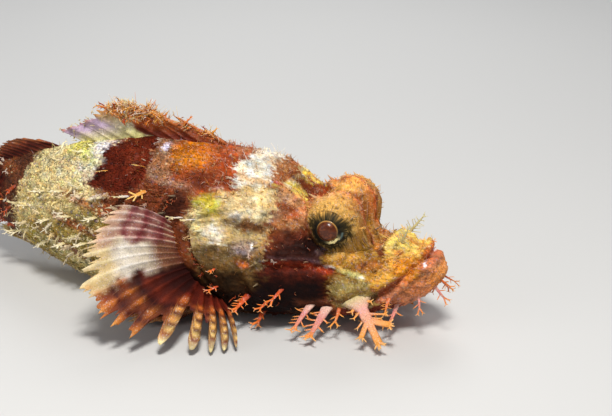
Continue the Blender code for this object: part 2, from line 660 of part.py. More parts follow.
def duplicate(obj, name, colour=None):
    mesh = obj.data.copy()
    mesh.name = name
    made = bpy.data.objects.new(name, mesh)
    bpy.context.scene.collection.objects.link(made)
    if colour is not None:
        mesh.materials.append(material(name, colour))
    return made


def dense_ring(t):
    """Points right round the skin at one t."""
    near = np.array([t - RING_STEP, t, t + RING_STEP])
    turns = np.linspace(0, 2 * math.pi, RING_SIDES + 1)[:-1]
    return body_grid(near, turns)[1]


def skin_at(t, side, z=None, y=None):
    """The skin's point at one t, at a height on the side or a distance from the midline on top."""
    ring = dense_ring(t)
    if z is not None:
        miss = np.abs(ring[:, 2] - z) + 1.0 * (ring[:, 1] * side < 0)
    else:
        miss = np.abs(ring[:, 1] - side * y) + 1.0 * (ring[:, 2] < WIDEST(np.array(t)))
    return ring[np.argmin(miss)]


def comb(length, half_width, teeth):
    """A branched flap drawn flat: its points (u along it, v across it) and its triangles."""
    points, chains, faces = [], [], []
    for side in (1, -1):
        chain = [len(points)]
        points.append((-SUNK, side * half_width * STEM_ROOT))
        for k in range(teeth):
            place = (k + (0.0 if side > 0 else TOOTH_OFFSET)) / (teeth + TOOTH_OFFSET)
            start = length * (TOOTH_START + TOOTH_SPREAD * place)
            width = half_width * (STEM_WIDE - STEM_NARROWS * start / length)
            reach = width + half_width * TOOTH_WIDE + length * TOOTH_REACH
            rise = length * (TOOTH_LONG + TOOTH_LONG_EACH / teeth)
            first = len(points)
            points.append((start, side * width))
            points.append((start + rise * 0.75, side * width * 0.8))
            points.append((start + rise, side * reach))
            chain += [first, first + 1]
            faces.append((first, first + 1, first + 2))
        chain.append(len(points))
        points.append((length, side * half_width * STEM_TIP))
        chains.append(chain)
    left, right = chains
    i = j = 0
    while i + 1 < len(left) or j + 1 < len(right):
        on_left = i + 1 < len(left)
        if on_left and j + 1 < len(right):
            on_left = points[left[i + 1]][0] <= points[right[j + 1]][0]
        if on_left:
            faces.append((left[i], right[j], left[i + 1]))
            i += 1
        else:
            faces.append((left[i], right[j], right[j + 1]))
            j += 1
    turned_up = []
    for a, b, c in faces:
        (ua, va), (ub, vb), (uc, vc) = points[a], points[b], points[c]
        area = (ub - ua) * (vc - va) - (uc - ua) * (vb - va)
        turned_up.append((a, b, c) if area > 0 else (a, c, b))
    return np.array(points), turned_up


def flap(name, root, along, length, half_width, teeth, curl=FLAP_CURL):
    """A thin branched flap from under the skin, curling upwards at its tip."""
    outline, faces = comb(length, half_width, teeth)
    along = np.asarray(along, float) / np.linalg.norm(along)
    across = np.array([-1.0, 0.0, 0.0]) - along * -along[0]
    if np.linalg.norm(across) < 0.5:
        across = np.cross(along, (0.0, 1.0, 0.0))
    across /= np.linalg.norm(across)
    normal = np.cross(along, across)
    normal *= 1 if normal[2] > 0 else -1
    share = np.clip(outline[:, :1] / length, 0, 1)
    points = root + along * outline[:, :1] + across * outline[:, 1:] + normal * curl * length * share**2
    facing = normal - along * 2 * curl * share
    facing /= np.linalg.norm(facing, axis=1, keepdims=True)
    half = FLAP_HALF[0] + (FLAP_HALF[1] - FLAP_HALF[0]) * share[:, 0]
    points[:, 2] = np.maximum(points[:, 2], FLAP_FLOOR)
    return slab(name, points, facing, half, faces)


def turned(direction, t, side):
    """A direction given as backwards, outwards, upwards, in the model's frame."""
    back, out, up = direction
    heading = float(np.interp(t, SPINE[0], SPINE[3]))
    across = out * side
    return np.array([
        -back * math.cos(heading) + across * math.sin(heading),
        back * math.sin(heading) + across * math.cos(heading),
        up,
    ])


def node_of(name, side):
    sided = {"gill_cover": "gill_cover_left" if side > 0 else "gill_cover_right"}
    return sided.get(name, name)


def skin_pieces():
    """Every head spine and skin flap, by the node that it grows from."""
    draw = random.Random(RANDOM_SEED)
    pieces = {}
    for side in (-1, 1):
        for i, (node, t, view, place, length, direction) in enumerate(HEAD_SPINES):
            root = bend(skin_at(t * MM, side, **{view: place * MM}))
            length = length * MM * draw.uniform(*SPINE_SCATTER)
            base = length * SPINE_BASE + SPINE_BASE_LEAST
            along = turned(direction, t * MM, side)
            made = cone(f"spine_{i}_{side}", root, along, length, base, SPINE_TIP)
            pieces.setdefault(node_of(node, side), []).append(made)
        for i, (node, t, view, place, length, width, teeth, direction) in enumerate(FLAPS):
            root = bend(skin_at(t * MM, side, **{view: place * MM}))
            size = draw.uniform(*FLAP_SCATTER)
            along = turned(direction, t * MM, side)
            curl = FLAP_CURL * draw.uniform(0.3, 1.5)
            made = flap(f"flap_{i}_{side}", root, along, length * size * MM, width * MM, teeth, curl)
            pieces.setdefault(node_of(node, side), []).append(made)
    return pieces


def eye(name, side, colour):
    """A ball with a raised lens in a slightly sunken iris."""
    centre = bend((EYE_AT[0], side * EYE_AT[1], EYE_AT[2]))
    obj = ball(name, centre, EYE_RADIUS, segments=20, rings=12)
    for vert in obj.data.vertices:
        place = np.array(vert.co) - centre
        facing = place[1] * side / EYE_RADIUS
        wide = math.hypot(place[0], place[2])
        if facing > 0:
            lens = 1 - smoothstep((wide - PUPIL_RADIUS * 0.8) / (PUPIL_RADIUS * 0.4))
            iris = smoothstep((IRIS_RADIUS - wide) / MM)
            vert.co.y += side * float(lens * PUPIL_RISE - (1 - lens) * iris * IRIS_DIP)
    obj.data.materials.append(material(name, colour, 0.2))
    return obj


def ray_columns(roots, tips, bows, steps, web_reach):
    """Rays and the webs between them as columns of points, root to tip."""
    u = np.linspace(0, 1, steps)[:, None]
    columns = []
    for i in range(len(roots)):
        columns.append(roots[i] + (tips[i] - roots[i]) * u + bows[i] * 4 * u * (1 - u))
        if i + 1 < len(roots):
            w = u * web_reach[i]
            root = (roots[i] + roots[i + 1]) / 2
            tip = (tips[i] + tips[i + 1]) / 2
            bow = (bows[i] + bows[i + 1]) / 2
            columns.append(root + (tip - root) * w + bow * 4 * w * (1 - w))
    return np.array(columns)


def ray_thickness(rays, steps):
    """Half thickness of each column: thick rays and thin webs, both thicker at the root."""
    u = np.linspace(0, 1, steps)
    fleshy = np.clip(1 - u / 0.3, 0, 1)
    ray = RAY_HALF[0] + (RAY_HALF[1] - RAY_HALF[0]) * u
    web = WEB_HALF[1] + (WEB_HALF[0] - WEB_HALF[1]) * fleshy
    rows = []
    for i in range(2 * rays - 1):
        rows.append(web if i % 2 else ray)
    return np.array(rows)


def fin(name, roots, tips, bows, steps, web_reach, colour, skin, pieces=()):
    """A fin whose root is cut to the skin, leaving the gap."""
    rays = len(roots)
    reach = np.broadcast_to(web_reach, (rays - 1,))
    columns = ray_columns(np.array(roots), np.array(tips), np.array(bows), steps, reach)
    columns[..., 2] = smooth_max(columns[..., 2], FLOOR_CLEAR, 0.3 * MM)
    obj = ribbed_sheet(name, columns, ray_thickness(rays, steps), colour)
    combine(obj, [duplicate(skin, name + "_cut")], "DIFFERENCE", "MANIFOLD")
    combine(obj, list(pieces), "UNION", "MANIFOLD")
    return obj


def back_point(t, depth):
    return np.array([t, 0.0, float(TOP(np.array(t))) - depth])


def slope_of(curve, t):
    return math.atan2(float(curve(np.array(t + MM)) - curve(np.array(t - MM))), 2 * MM)


def back_fin_spiny(skin):
    draw = random.Random(RANDOM_SEED + 1)
    roots, tips, bows, tufts = [], [], [], []
    for i, length in enumerate(BACK_SPINE_LENGTHS):
        t = BACK_SPINES_START + i * BACK_SPINE_STEP
        raised = BACK_SPINE_RAISED + slope_of(TOP, t) * 0.6
        root = back_point(t, SUNK + 0.6 * MM)
        lean = draw.uniform(-0.9, 0.9) * MM
        run = np.array([math.cos(raised), 0.0, math.sin(raised)]) * (length * MM + SUNK)
        tip = root + run + (0.0, lean, 0.0)
        roots.append(root)
        tips.append(tip)
        bows.append(np.array([0.0, 0.0, 0.6 * MM]))
        if i % 2 == 0 and 0 < i < 11:
            along = turned((0.7, draw.uniform(-0.4, 0.4), 0.6), tip[0], 1)
            place = bend(tip - run * 0.06)
            tufts.append(flap(f"tuft_{i}", place, along, FIN_FLAP_LENGTH, 0.9 * MM, 1, 0.1))
    colour = (0.42, 0.17, 0.07)
    return fin("dorsal_fin_spiny", roots, tips, bows, 4, 0.72, colour, skin, tufts)


def back_fin_soft(skin):
    roots, tips, bows = [], [], []
    count = len(SOFT_LENGTHS)
    for i, length in enumerate(SOFT_LENGTHS):
        t = SOFT_START + i * SOFT_STEP
        raised = SOFT_RAISED[0] + (SOFT_RAISED[1] - SOFT_RAISED[0]) * i / (count - 1)
        raised += slope_of(TOP, t) * 0.5
        root = back_point(t, SUNK + 0.4 * MM)
        roots.append(root)
        tips.append(root + np.array([math.cos(raised), 0.02, math.sin(raised)]) * (length * MM + SUNK))
        bows.append(np.array([0.0, 0.5 * MM, 0.4 * MM]))
    return fin("dorsal_fin_soft", roots, tips, bows, 5, 0.92, (0.36, 0.14, 0.07), skin)


def under_fin(skin):
    roots, tips, bows = [], [], []
    for i, length in enumerate(UNDER_LENGTHS):
        t = UNDER_START + i * UNDER_STEP
        root = np.array([t, 0.0, float(UNDER(np.array(t))) + SUNK + 0.4 * MM])
        run = np.array([math.cos(UNDER_LOWERED), 0.0, -math.sin(UNDER_LOWERED)])
        roots.append(root)
        tips.append(root + run * (length * MM + SUNK) + (0.0, 0.0, -SUNK * 0.6))
        bows.append(np.array([0.0, 0.3 * MM, -0.5 * MM]))
    return fin("anal_fin", roots, tips, bows, 5, 0.85, (0.40, 0.16, 0.08), skin)


def tail_fin(skin):
    roots, tips, bows = [], [], []
    for i in range(TAIL_RAYS):
        u = i / (TAIL_RAYS - 1)
        out = 2 * u - 1
        roots.append(np.array([TAIL_ROOT[0], 0.0, TAIL_ROOT[1] + (TAIL_ROOT[2] - TAIL_ROOT[1]) * u]))
        end = TAIL_FIN_END - TAIL_CORNER * out**2 * (0.4 + 0.6 * out**2)
        tips.append(np.array([end, 0.0, TAIL_TIPS[0] + (TAIL_TIPS[1] - TAIL_TIPS[0]) * u]))
        bows.append(np.array([0.0, 0.8 * MM, 0.5 * MM * out]))
    return fin("caudal_fin", roots, tips, bows, 5, 0.95, (0.46, 0.20, 0.10), skin)


def fan_run(u):
    """The run of the breast fin's rays at a share of the way down the fan."""
    table = np.array(BREAST_FAN, float) * MM
    place = u * (len(table) - 1)
    return np.array([np.interp(place, range(len(table)), table[:, k]) for k in range(3)])


def breast_fin(name, side, skin):
    roots, tips, bows, reach = [], [], [], []
    for i in range(BREAST_RAYS):
        u = i / (BREAST_RAYS - 1)
        t = BREAST_ROOT_TOP[0] + (BREAST_ROOT_LOW[0] - BREAST_ROOT_TOP[0]) * u**1.3
        z = BREAST_ROOT_TOP[1] + (BREAST_ROOT_LOW[1] - BREAST_ROOT_TOP[1]) * u
        run = fan_run(u) * (1, side, 1)
        start = skin_at(t, side, z=z)
        inward = np.array([0.0, -side, 0.0])
        roots.append(start + inward * 2 * SUNK)
        tips.append(start + run)
        forwards = BREAST_SWEPT[1] * max(u - BREAST_SWEPT[0], 0.0) / (1 - BREAST_SWEPT[0])
        bows.append(np.array([-forwards, side * BREAST_BOW * 0.5, BREAST_BOW * (1 - 0.5 * u)]))
        if i:
            reach.append(BREAST_WEB[0] - BREAST_WEB[2] * max(u - BREAST_WEB[1], 0.0))
    return fin(name, roots, tips, bows, 5, np.array(reach), (0.40, 0.12, 0.06), skin)


def belly_fin(name, side, skin):
    roots, tips, bows = [], [], []
    count = len(BELLY_LENGTHS)
    for i, length in enumerate(BELLY_LENGTHS):
        u = i / (count - 1)
        t = BELLY_ROOT[0] + (BELLY_ROOT[1] - BELLY_ROOT[0]) * u
        start = plain_body(np.array([t]), np.array([side * BELLY_TURN]))[0]
        angle = BELLY_SPREAD[0] + (BELLY_SPREAD[1] - BELLY_SPREAD[0]) * u
        run = np.array([math.cos(angle), side * math.sin(angle), 0.0]) * length * MM
        roots.append(start + np.array([-0.4 * SUNK, -side * SUNK, 0.6 * MM]))
        tips.append(np.array([start[0], start[1], FLOOR_CLEAR]) + run)
        bows.append(np.array([0.0, 0.0, 0.2 * MM]))
    return fin(name, roots, tips, bows, 5, 0.9, (0.38, 0.12, 0.07), skin)


def cut_by_outline(obj, outline, keep_inside, grow=0.0, y_from=-60 * MM, y_to=60 * MM):
    """Cuts an object by a block over an outline in side view."""
    block = side_prism(obj.name + "_block", outline, y_from, y_to, grow)
    combine(obj, [block], "INTERSECT" if keep_inside else "DIFFERENCE")


def body_nodes():
    """The flesh, parted into head, jaw, gill covers, trunk and tail stalk."""
    whole = whole_body("whole")
    cut_flat(whole, (0, 0, 0), (0, 0, -1))

    head = duplicate(whole, "head", (0.62, 0.34, 0.13))
    cut_by_outline(head, HEAD_OUTLINE, True)
    trunk = duplicate(whole, "trunk", (0.46, 0.20, 0.09))
    cut_by_outline(trunk, HEAD_OUTLINE, False, GAP)
    stalk = duplicate(trunk, "tail_stalk", (0.66, 0.55, 0.40))
    bpy.data.objects.remove(whole)

    heading = float(np.interp(STALK_CUT, SPINE[0], SPINE[3]))
    backwards = np.array([-math.cos(heading), math.sin(heading), 0.0])
    middle = bend((STALK_CUT, 0.0, 20 * MM))
    cut_flat(trunk, middle - backwards * GAP / 2, backwards)
    cut_flat(stalk, middle + backwards * GAP / 2, -backwards)

    jaw = duplicate(head, "lower_jaw")
    jaw.data.materials.clear()
    jaw.data.materials.append(material("lower_jaw", (0.60, 0.20, 0.10)))
    cut_by_outline(jaw, JAW_OUTLINE, True)
    cut_by_outline(head, JAW_OUTLINE, False, GAP)

    nodes = {"head": head, "trunk": trunk, "tail_stalk": stalk, "lower_jaw": jaw}
    for side, word in ((1, "left"), (-1, "right")):
        inner, outer = sorted((side * GILL_COVER_INNER, side * 60 * MM))
        cover = duplicate(head, "gill_cover_" + word)
        cover.data.materials.clear()
        cover.data.materials.append(material("gill_cover_" + word, (0.50, 0.40, 0.20)))
        cut_by_outline(cover, GILL_COVER, True, 0.0, inner, outer)
        inner, outer = sorted((side * (GILL_COVER_INNER - GAP), side * 60 * MM))
        cut_by_outline(head, GILL_COVER, False, GAP, inner, outer)
        nodes[cover.name] = cover
    return nodes


def cut_sockets(head):
    """Room for the eyes, open to the sides, and the pits of the nose."""
    cutters = []
    for side in (1, -1):
        centre = bend((EYE_AT[0], side * EYE_AT[1], EYE_AT[2]))
        cutters.append(ball("socket", centre, EYE_RADIUS + GAP, 20, 12))
        outwards = np.array([0.0, float(side), 0.0])
        start = centre + outwards * ORBIT_START
        near, far = ORBIT_RADII
        cutters.append(cone("opening", start, outwards, ORBIT_DEPTH, near, far, 16, 0.0))
        for t, y in NOSTRILS:
            pit = bend(skin_at(t * MM, side, y=y * MM))
            cutters.append(ball("pit", pit, NOSTRIL_RADIUS, 6, 5))
    combine(head, cutters, "DIFFERENCE", "MANIFOLD")


def main():
    for obj in list(bpy.data.objects):
        bpy.data.objects.remove(obj)
    nodes = body_nodes()
    cut_sockets(nodes["head"])
    pieces = skin_pieces()
    for name, obj in nodes.items():
        combine(obj, pieces.get(name, []), "UNION", "MANIFOLD")
        obj.data.shade_smooth()
    for side, word in ((1, "left"), (-1, "right")):
        eye("eye_" + word, side, (0.30, 0.12, 0.05))
    skin = whole_body("skin", GAP)
    back_fin_spiny(skin)
    back_fin_soft(skin)
    under_fin(skin)
    tail_fin(skin)
    for side, word in ((1, "left"), (-1, "right")):
        breast_fin("pectoral_fin_" + word, side, skin)
        belly_fin("pelvic_fin_" + word, side, skin)
    bpy.data.objects.remove(skin)


main()
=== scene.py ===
"""The looks of a scorpionfish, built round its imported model.

Shapes are worked out in fish coordinates, in millimetres: t runs backwards from the tip of
the upper lip, y to the fish's left, z up from the floor. bend() takes them to metres in the
model's own frame, where the fish heads along +X.
"""

import math

import bpy
import numpy as np
from mathutils import Matrix, Vector


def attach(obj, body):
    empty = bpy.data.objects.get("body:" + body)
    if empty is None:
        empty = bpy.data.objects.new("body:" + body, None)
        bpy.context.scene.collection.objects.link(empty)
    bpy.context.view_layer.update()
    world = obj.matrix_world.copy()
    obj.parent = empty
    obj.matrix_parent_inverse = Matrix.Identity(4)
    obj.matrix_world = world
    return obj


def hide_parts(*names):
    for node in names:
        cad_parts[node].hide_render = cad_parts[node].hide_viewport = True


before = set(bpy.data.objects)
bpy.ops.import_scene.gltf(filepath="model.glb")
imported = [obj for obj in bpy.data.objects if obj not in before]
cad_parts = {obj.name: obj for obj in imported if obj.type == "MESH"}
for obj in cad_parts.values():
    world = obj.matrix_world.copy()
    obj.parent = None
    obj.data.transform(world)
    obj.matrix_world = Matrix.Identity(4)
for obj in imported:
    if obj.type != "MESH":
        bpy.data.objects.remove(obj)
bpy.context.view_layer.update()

# A millimetre in metres
MM = 0.001

# The body's measures, the same as the solids'
LIP_X = 87.9
JAW_TIP, BODY_LENGTH, TAIL_FIN_END = -5.0, 160.0, 197.0
BEND_START, TAIL_TURN, TURN_GROWTH = 84.0, math.radians(52.0), 1.15
SUNK = 1.6

# Distance behind the lip, top, underside, half width, height of the widest level, and the
# roundness above and below it.
SECTIONS = (
    (-5.0, 21.4, 13.6, 5.6, 18.0, 2.3, 2.2),
    (-1.0, 23.8, 11.0, 7.6, 18.0, 2.3, 2.2),
    (3.0, 24.9, 8.6, 9.2, 17.5, 2.0, 2.2),
    (9.0, 26.4, 5.6, 11.2, 16.5, 1.9, 2.3),
    (14.5, 24.6, 4.0, 13.4, 15.5, 1.9, 2.4),
    (20.0, 27.0, 3.2, 15.4, 15.5, 1.95, 2.5),
    (26.0, 31.0, 2.6, 17.4, 16.0, 1.9, 2.5),
    (33.0, 35.6, 1.8, 19.2, 16.5, 1.8, 2.5),
    (40.0, 40.4, 0.8, 20.6, 17.0, 1.8, 2.5),
    (48.0, 44.6, -0.2, 21.6, 17.5, 1.8, 2.6),
    (56.0, 46.4, -0.7, 22.0, 18.0, 1.8, 2.6),
    (68.0, 47.2, -0.9, 21.0, 18.5, 1.75, 2.6),
    (84.0, 46.9, -0.6, 19.0, 19.5, 1.75, 2.5),
    (100.0, 43.9, 0.6, 16.0, 20.0, 1.8, 2.3),
    (114.0, 39.6, 3.0, 12.4, 20.5, 1.9, 2.1),
    (128.0, 34.2, 6.6, 8.8, 20.5, 2.0, 2.0),
    (144.0, 29.0, 10.8, 5.8, 20.0, 2.0, 2.0),
    (160.0, 27.6, 11.2, 4.4, 19.4, 2.0, 2.0),
)
NOSE_CAP, TAIL_CAP = 6.0, 4.0
EYE_AT = (25.6, 10.6, 31.2)
EYE_RADIUS = 6.4
DOME_AT, DOME_RADIUS, DOME_BLEND = (25.6, 9.0, 31.2), 8.2, 2.4
MOUTH_LINE = (
    (-2.6, 23.8), (0.6, 22.3), (3.4, 19.4), (6.8, 16.3),
    (10.3, 13.2), (14.0, 10.4), (18.0, 8.4), (22.5, 7.2),
)

# Ridges of the head, and hollows with a negative height: the view that shows them, their line in that view as
# t and z or as t and y, their height and half width.
HEAD_RIDGES = (
    ("side", ((23.0, 23.2), (34.0, 23.6), (47.0, 23.4)), 1.5, 1.5),
    ("side", ((24.0, 20.0), (33.0, 20.2), (44.0, 19.8)), -1.1, 1.7),
    ("side", ((44.5, 34.0), (48.5, 28.0), (49.0, 20.0), (45.0, 12.0), (37.0, 8.0)), 1.1, 1.3),
    ("side", ((53.0, 34.5), (59.0, 33.0), (65.0, 31.0)), 1.2, 1.2),
    ("side", ((7.0, 18.6), (12.0, 16.6), (17.0, 15.0), (21.5, 13.6)), 1.3, 2.0),
    ("side", ((24.0, 17.0), (24.8, 13.0), (23.0, 9.5)), -1.0, 1.0),
    ("side", ((11.0, 23.5), (17.0, 24.5)), 0.7, 1.8),
    ("side", ((6.0, 12.5), (14.0, 9.8), (22.0, 7.8)), 0.7, 1.5),
    ("top", ((31.5, 7.6), (37.0, 7.4), (44.0, 8.4), (50.0, 9.6)), 1.5, 1.2),
    ("top", ((30.0, 0.0), (38.0, 0.0)), -1.4, 3.2),
    ("top", ((14.0, 4.6), (19.0, 5.6), (25.0, 6.2)), 1.0, 1.1),
    ("top", ((15.0, 0.0), (24.0, 0.0)), -0.7, 2.4),
    ("top", ((6.5, 2.9), (10.0, 3.3)), 0.9, 1.5),
)

# The outline of the gill cover as t and z, and the nostrils as t and y
GILL_COVER = (
    (50.0, 35.5), (55.5, 38.0), (60.5, 36.0), (64.0, 32.0), (66.0, 27.0), (63.4, 20.5),
    (58.6, 14.0), (54.0, 9.8), (49.6, 8.8), (48.2, 13.0), (49.6, 20.0), (50.0, 28.0),
)
NOSTRILS = ((8.6, 4.9), (15.6, 5.2))


# Numbers: noise and curves
def smoothstep(u):
    u = np.clip(u, 0.0, 1.0)
    return u * u * (3 - 2 * u)


def ramp(value, start, width):
    """0 up to the start, 1 from one width after it on, and smooth in between."""
    return smoothstep((value - start) / width)


def fall(value, end, width):
    """1 up to one width before the end, 0 from the end on, and smooth in between."""
    return smoothstep((end - value) / width)


def smooth_max(a, b, blend):
    return (a + b + np.sqrt((a - b) ** 2 + blend**2)) / 2


def mix(a, b, share):
    return a + (b - a) * share


def bell(distance, width):
    """1 at no distance, falling off smoothly, and about a third at one width."""
    return np.exp(-((distance / width) ** 2))


def hashed(x, y, z, seed):
    """A repeatable number from 0 to 1 for each whole-number place."""
    h = (x * 374761393 + y * 668265263 + z * 1103515245 + seed * 1274126177) & 0xFFFFFFFF
    h = ((h ^ (h >> 13)) * 1274126177) & 0xFFFFFFFF
    h = ((h ^ (h >> 15)) * 2246822519) & 0xFFFFFFFF
    return ((h ^ (h >> 16)) & 0xFFFFFF) / 16777215.0


def noise(points, size, seed):
    """Smooth noise from -1 to 1 with lumps about size across."""
    q = np.asarray(points, float) / size + 1000.0
    base = np.floor(q).astype(np.int64)
    f = q - base
    f = f * f * f * (f * (f * 6 - 15) + 10)
    total = 0.0
    for dx in (0, 1):
        for dy in (0, 1):
            for dz in (0, 1):
                weight = (
                    (f[..., 0] if dx else 1 - f[..., 0])
                    * (f[..., 1] if dy else 1 - f[..., 1])
                    * (f[..., 2] if dz else 1 - f[..., 2])
                )
                corner = (base[..., 0] + dx, base[..., 1] + dy, base[..., 2] + dz)
                total = total + weight * hashed(*corner, seed)
    return total * 2 - 1


def layered_noise(points, size, seed, layers=3):
    total, strength, weight = 0.0, 1.0, 0.0
    for k in range(layers):
        total = total + noise(points, size / 2**k, seed + 17 * k) * strength
        weight += strength
        strength *= 0.55
    return total / weight * 1.5


def cells(points, size, seed):
    """How far the nearest and the next of scattered centres are, in cell sizes, and the nearest's number."""
    q = np.asarray(points, float).reshape(-1, 3) / size + 1000.0
    base = np.floor(q).astype(np.int64)
    f = q - base
    first = np.full(len(q), 9.0)
    second = np.full(len(q), 9.0)
    label = np.zeros(len(q))
    for dx in (-1, 0, 1):
        for dy in (-1, 0, 1):
            for dz in (-1, 0, 1):
                cx, cy, cz = base[:, 0] + dx, base[:, 1] + dy, base[:, 2] + dz
                px = dx + hashed(cx, cy, cz, seed) - f[:, 0]
                py = dy + hashed(cx, cy, cz, seed + 1) - f[:, 1]
                pz = dz + hashed(cx, cy, cz, seed + 2) - f[:, 2]
                gap = px * px + py * py + pz * pz
                nearer = gap < first
                second = np.where(nearer, first, np.minimum(second, gap))
                label = np.where(nearer, hashed(cx, cy, cz, seed + 3), label)
                first = np.where(nearer, gap, first)
    shape = np.shape(points)[:-1]
    return np.sqrt(first).reshape(shape), np.sqrt(second).reshape(shape), label.reshape(shape)


def table_curve(rows, column):
    """A smooth curve through one column of a table, against its first column."""
    at = np.array([row[0] for row in rows])
    values = np.array([row[column] for row in rows], float)
    rise = np.diff(values) / np.diff(at)
    slope = np.zeros(len(at))
    slope[0], slope[-1] = rise[0], rise[-1]
    before, after = rise[:-1], rise[1:]
    turns = before * after <= 0
    slope[1:-1] = np.where(turns, 0.0, 2 * before * after / np.where(turns, 1.0, before + after))

    def value(t):
        t = np.clip(t, at[0], at[-1])
        i = np.clip(np.searchsorted(at, t, side="right") - 1, 0, len(at) - 2)
        step = at[i + 1] - at[i]
        u = (t - at[i]) / step
        return (
            values[i] * (1 + 2 * u) * (1 - u) ** 2
            + slope[i] * step * u * (1 - u) ** 2
            + values[i + 1] * u * u * (3 - 2 * u)
            + slope[i + 1] * step * u * u * (u - 1)
        )

    return value


TOP, UNDER, HALF_WIDTH, WIDEST, ROUND_ABOVE, ROUND_BELOW = (table_curve(SECTIONS, c) for c in range(1, 7))


def distance_to_line(u, v, line):
    """The distance in a flat view from each point to a line of points."""
    nearest = np.full(np.shape(u), 1e9)
    for (u0, v0), (u1, v1) in zip(line[:-1], line[1:]):
        du, dv = u1 - u0, v1 - v0
        share = np.clip(((u - u0) * du + (v - v0) * dv) / (du * du + dv * dv), 0, 1)
        nearest = np.minimum(nearest, np.hypot(u - u0 - share * du, v - v0 - share * dv))
    return nearest


# The body's shape
def end_caps(t):
    nose = np.clip((t - JAW_TIP) / NOSE_CAP, 0, 1)
    tail = np.clip((BODY_LENGTH - t) / TAIL_CAP, 0, 1)
    return np.sqrt(np.maximum(1 - (1 - nose) ** 2, 0)) * np.sqrt(np.maximum(1 - (1 - tail) ** 2, 0))


def ball_reach(t, sine, cosine, level, ball, radius):
    across, up = ball[1], ball[2] - level
    along = np.abs(sine) * across + cosine * up
    inside = along**2 - (across**2 + up**2) + radius**2 - (t - ball[0]) ** 2
    return along + np.sqrt(np.maximum(inside, 0)) - 1.6 * np.sqrt(np.maximum(-inside, 0))


def plain_body(t, turn):
    opened = end_caps(t)
    level = WIDEST(t)
    sine, cosine = np.sin(turn), np.cos(turn)
    above = cosine >= 0
    power = np.where(above, ROUND_ABOVE(t), ROUND_BELOW(t))
    height = np.where(above, TOP(t) - level, level - UNDER(t)) * opened
    width = HALF_WIDTH(t) * opened
    small = 1e-6
    reach = (
        (np.abs(sine) / (width + small)) ** power + (np.abs(cosine) / (height + small)) ** power
    ) ** (-1 / power)
    dome = ball_reach(t, sine, cosine, level, DOME_AT, DOME_RADIUS)
    apart = np.maximum(np.abs(reach - dome), DOME_BLEND)
    domed = smooth_max(reach, dome, DOME_BLEND) - DOME_BLEND**2 / 4 / apart
    near_dome = smoothstep((DOME_RADIUS + 8 - np.abs(t - DOME_AT[0])) / 5)
    reach = reach + (np.maximum(domed, reach) - reach) * near_dome
    return np.stack([t, reach * sine, level + reach * cosine], -1)


def grid_normals(points):
    along = np.gradient(points, axis=0)
    around = (np.roll(points, -1, axis=1) - np.roll(points, 1, axis=1)) / 2
    normals = np.cross(along, around)
    return normals / np.maximum(np.linalg.norm(normals, axis=-1, keepdims=True), 1e-9)


def mouth_side(t, z):
    return z - np.interp(t, [p[0] for p in MOUTH_LINE], [p[1] for p in MOUTH_LINE])


def gill_edge_at(z):
    rear = sorted(p[::-1] for p in GILL_COVER[2:9])
    return np.interp(z, [p[0] for p in rear], [p[1] for p in rear])


def broad_rise(points, normals):
    """The features that the solids have too."""
    t, y, z = points[..., 0], np.abs(points[..., 1]), points[..., 2]
    faces_side = smoothstep((np.abs(normals[..., 1]) - 0.15) / 0.3)
    faces_up = smoothstep((normals[..., 2] - 0.1) / 0.3)
    rise = np.zeros(t.shape)
    for view, line, height, half_width in HEAD_RIDGES:
        flat, seen = (z, faces_side) if view == "side" else (y, faces_up)
        gap = distance_to_line(t, flat, line)
        rise += height * bell(gap, half_width) * seen
    to_mouth = distance_to_line(t, z, MOUTH_LINE)
    side = mouth_side(t, z)
    rise -= 1.1 * bell(to_mouth, 0.9)
    rise += 0.8 * bell(to_mouth - 1.9, 1.3) * (side > -4)
    cover = smoothstep((gill_edge_at(z) - t) / 0.9) * ramp(t, 47, 6)
    in_height = ramp(z, 9, 3) * fall(z, 38, 2)
    return rise + 0.9 * cover * in_height * faces_side


def eye_distance(points):
    """The distance from the nearer eye's axis, and the angle round it: 0 is ahead, and it grows upwards."""
    ahead, up = EYE_AT[0] - points[..., 0], points[..., 2] - EYE_AT[2]
    return np.hypot(ahead, up), np.arctan2(up, ahead)


# Finer ridges and grooves, laid out like the head's ridges
FINE_LINES = (
    ("side", ((24.0, 21.0), (20.5, 19.2), (15.5, 17.4)), 0.55, 0.5),
    ("side", ((44.0, 30.0), (42.2, 26.0), (44.6, 21.4), (50.0, 17.6)), 0.5, 0.5),
    ("side", ((27.0, 21.2), (36.0, 21.3), (45.0, 20.6)), 0.5, 0.6),
    ("side", ((50.0, 34.4), (56.0, 31.6), (63.0, 30.4)), 0.6, 0.5),
    ("side", ((49.0, 27.0), (55.0, 24.8), (62.0, 24.4)), 0.45, 0.45),
    ("side", ((10.0, 22.0), (13.0, 19.0), (13.5, 16.0)), -0.4, 0.6),
    ("side", ((36.0, 34.4), (41.0, 36.2), (48.0, 36.6)), 0.5, 0.7),
    ("side", ((66.0, 34.6), (84.0, 32.4), (100.0, 29.4), (120.0, 25.0), (150.0, 19.6)), 0.3, 0.5),
    ("side", ((28.0, 7.2), (40.0, 5.2), (54.0, 5.4)), 0.5, 0.8),
    ("side", ((27.0, 4.6), (40.0, 3.0), (52.0, 3.0)), 0.45, 0.7),
    ("side", ((3.0, 25.0), (1.0, 21.4), (-1.6, 21.6)), -0.5, 0.4),
    ("side", ((1.4, 24.6), (-1.4, 23.6)), 0.9, 0.9),
    ("top", ((29.5, 9.0), (27.0, 7.2), (22.0, 6.6)), 0.5, 0.6),
    ("top", ((38.0, 3.0), (46.0, 3.4), (54.0, 4.4)), 0.5, 0.7),
)
WART_SIZE, GRAIN_SIZE = 1.35, 0.62


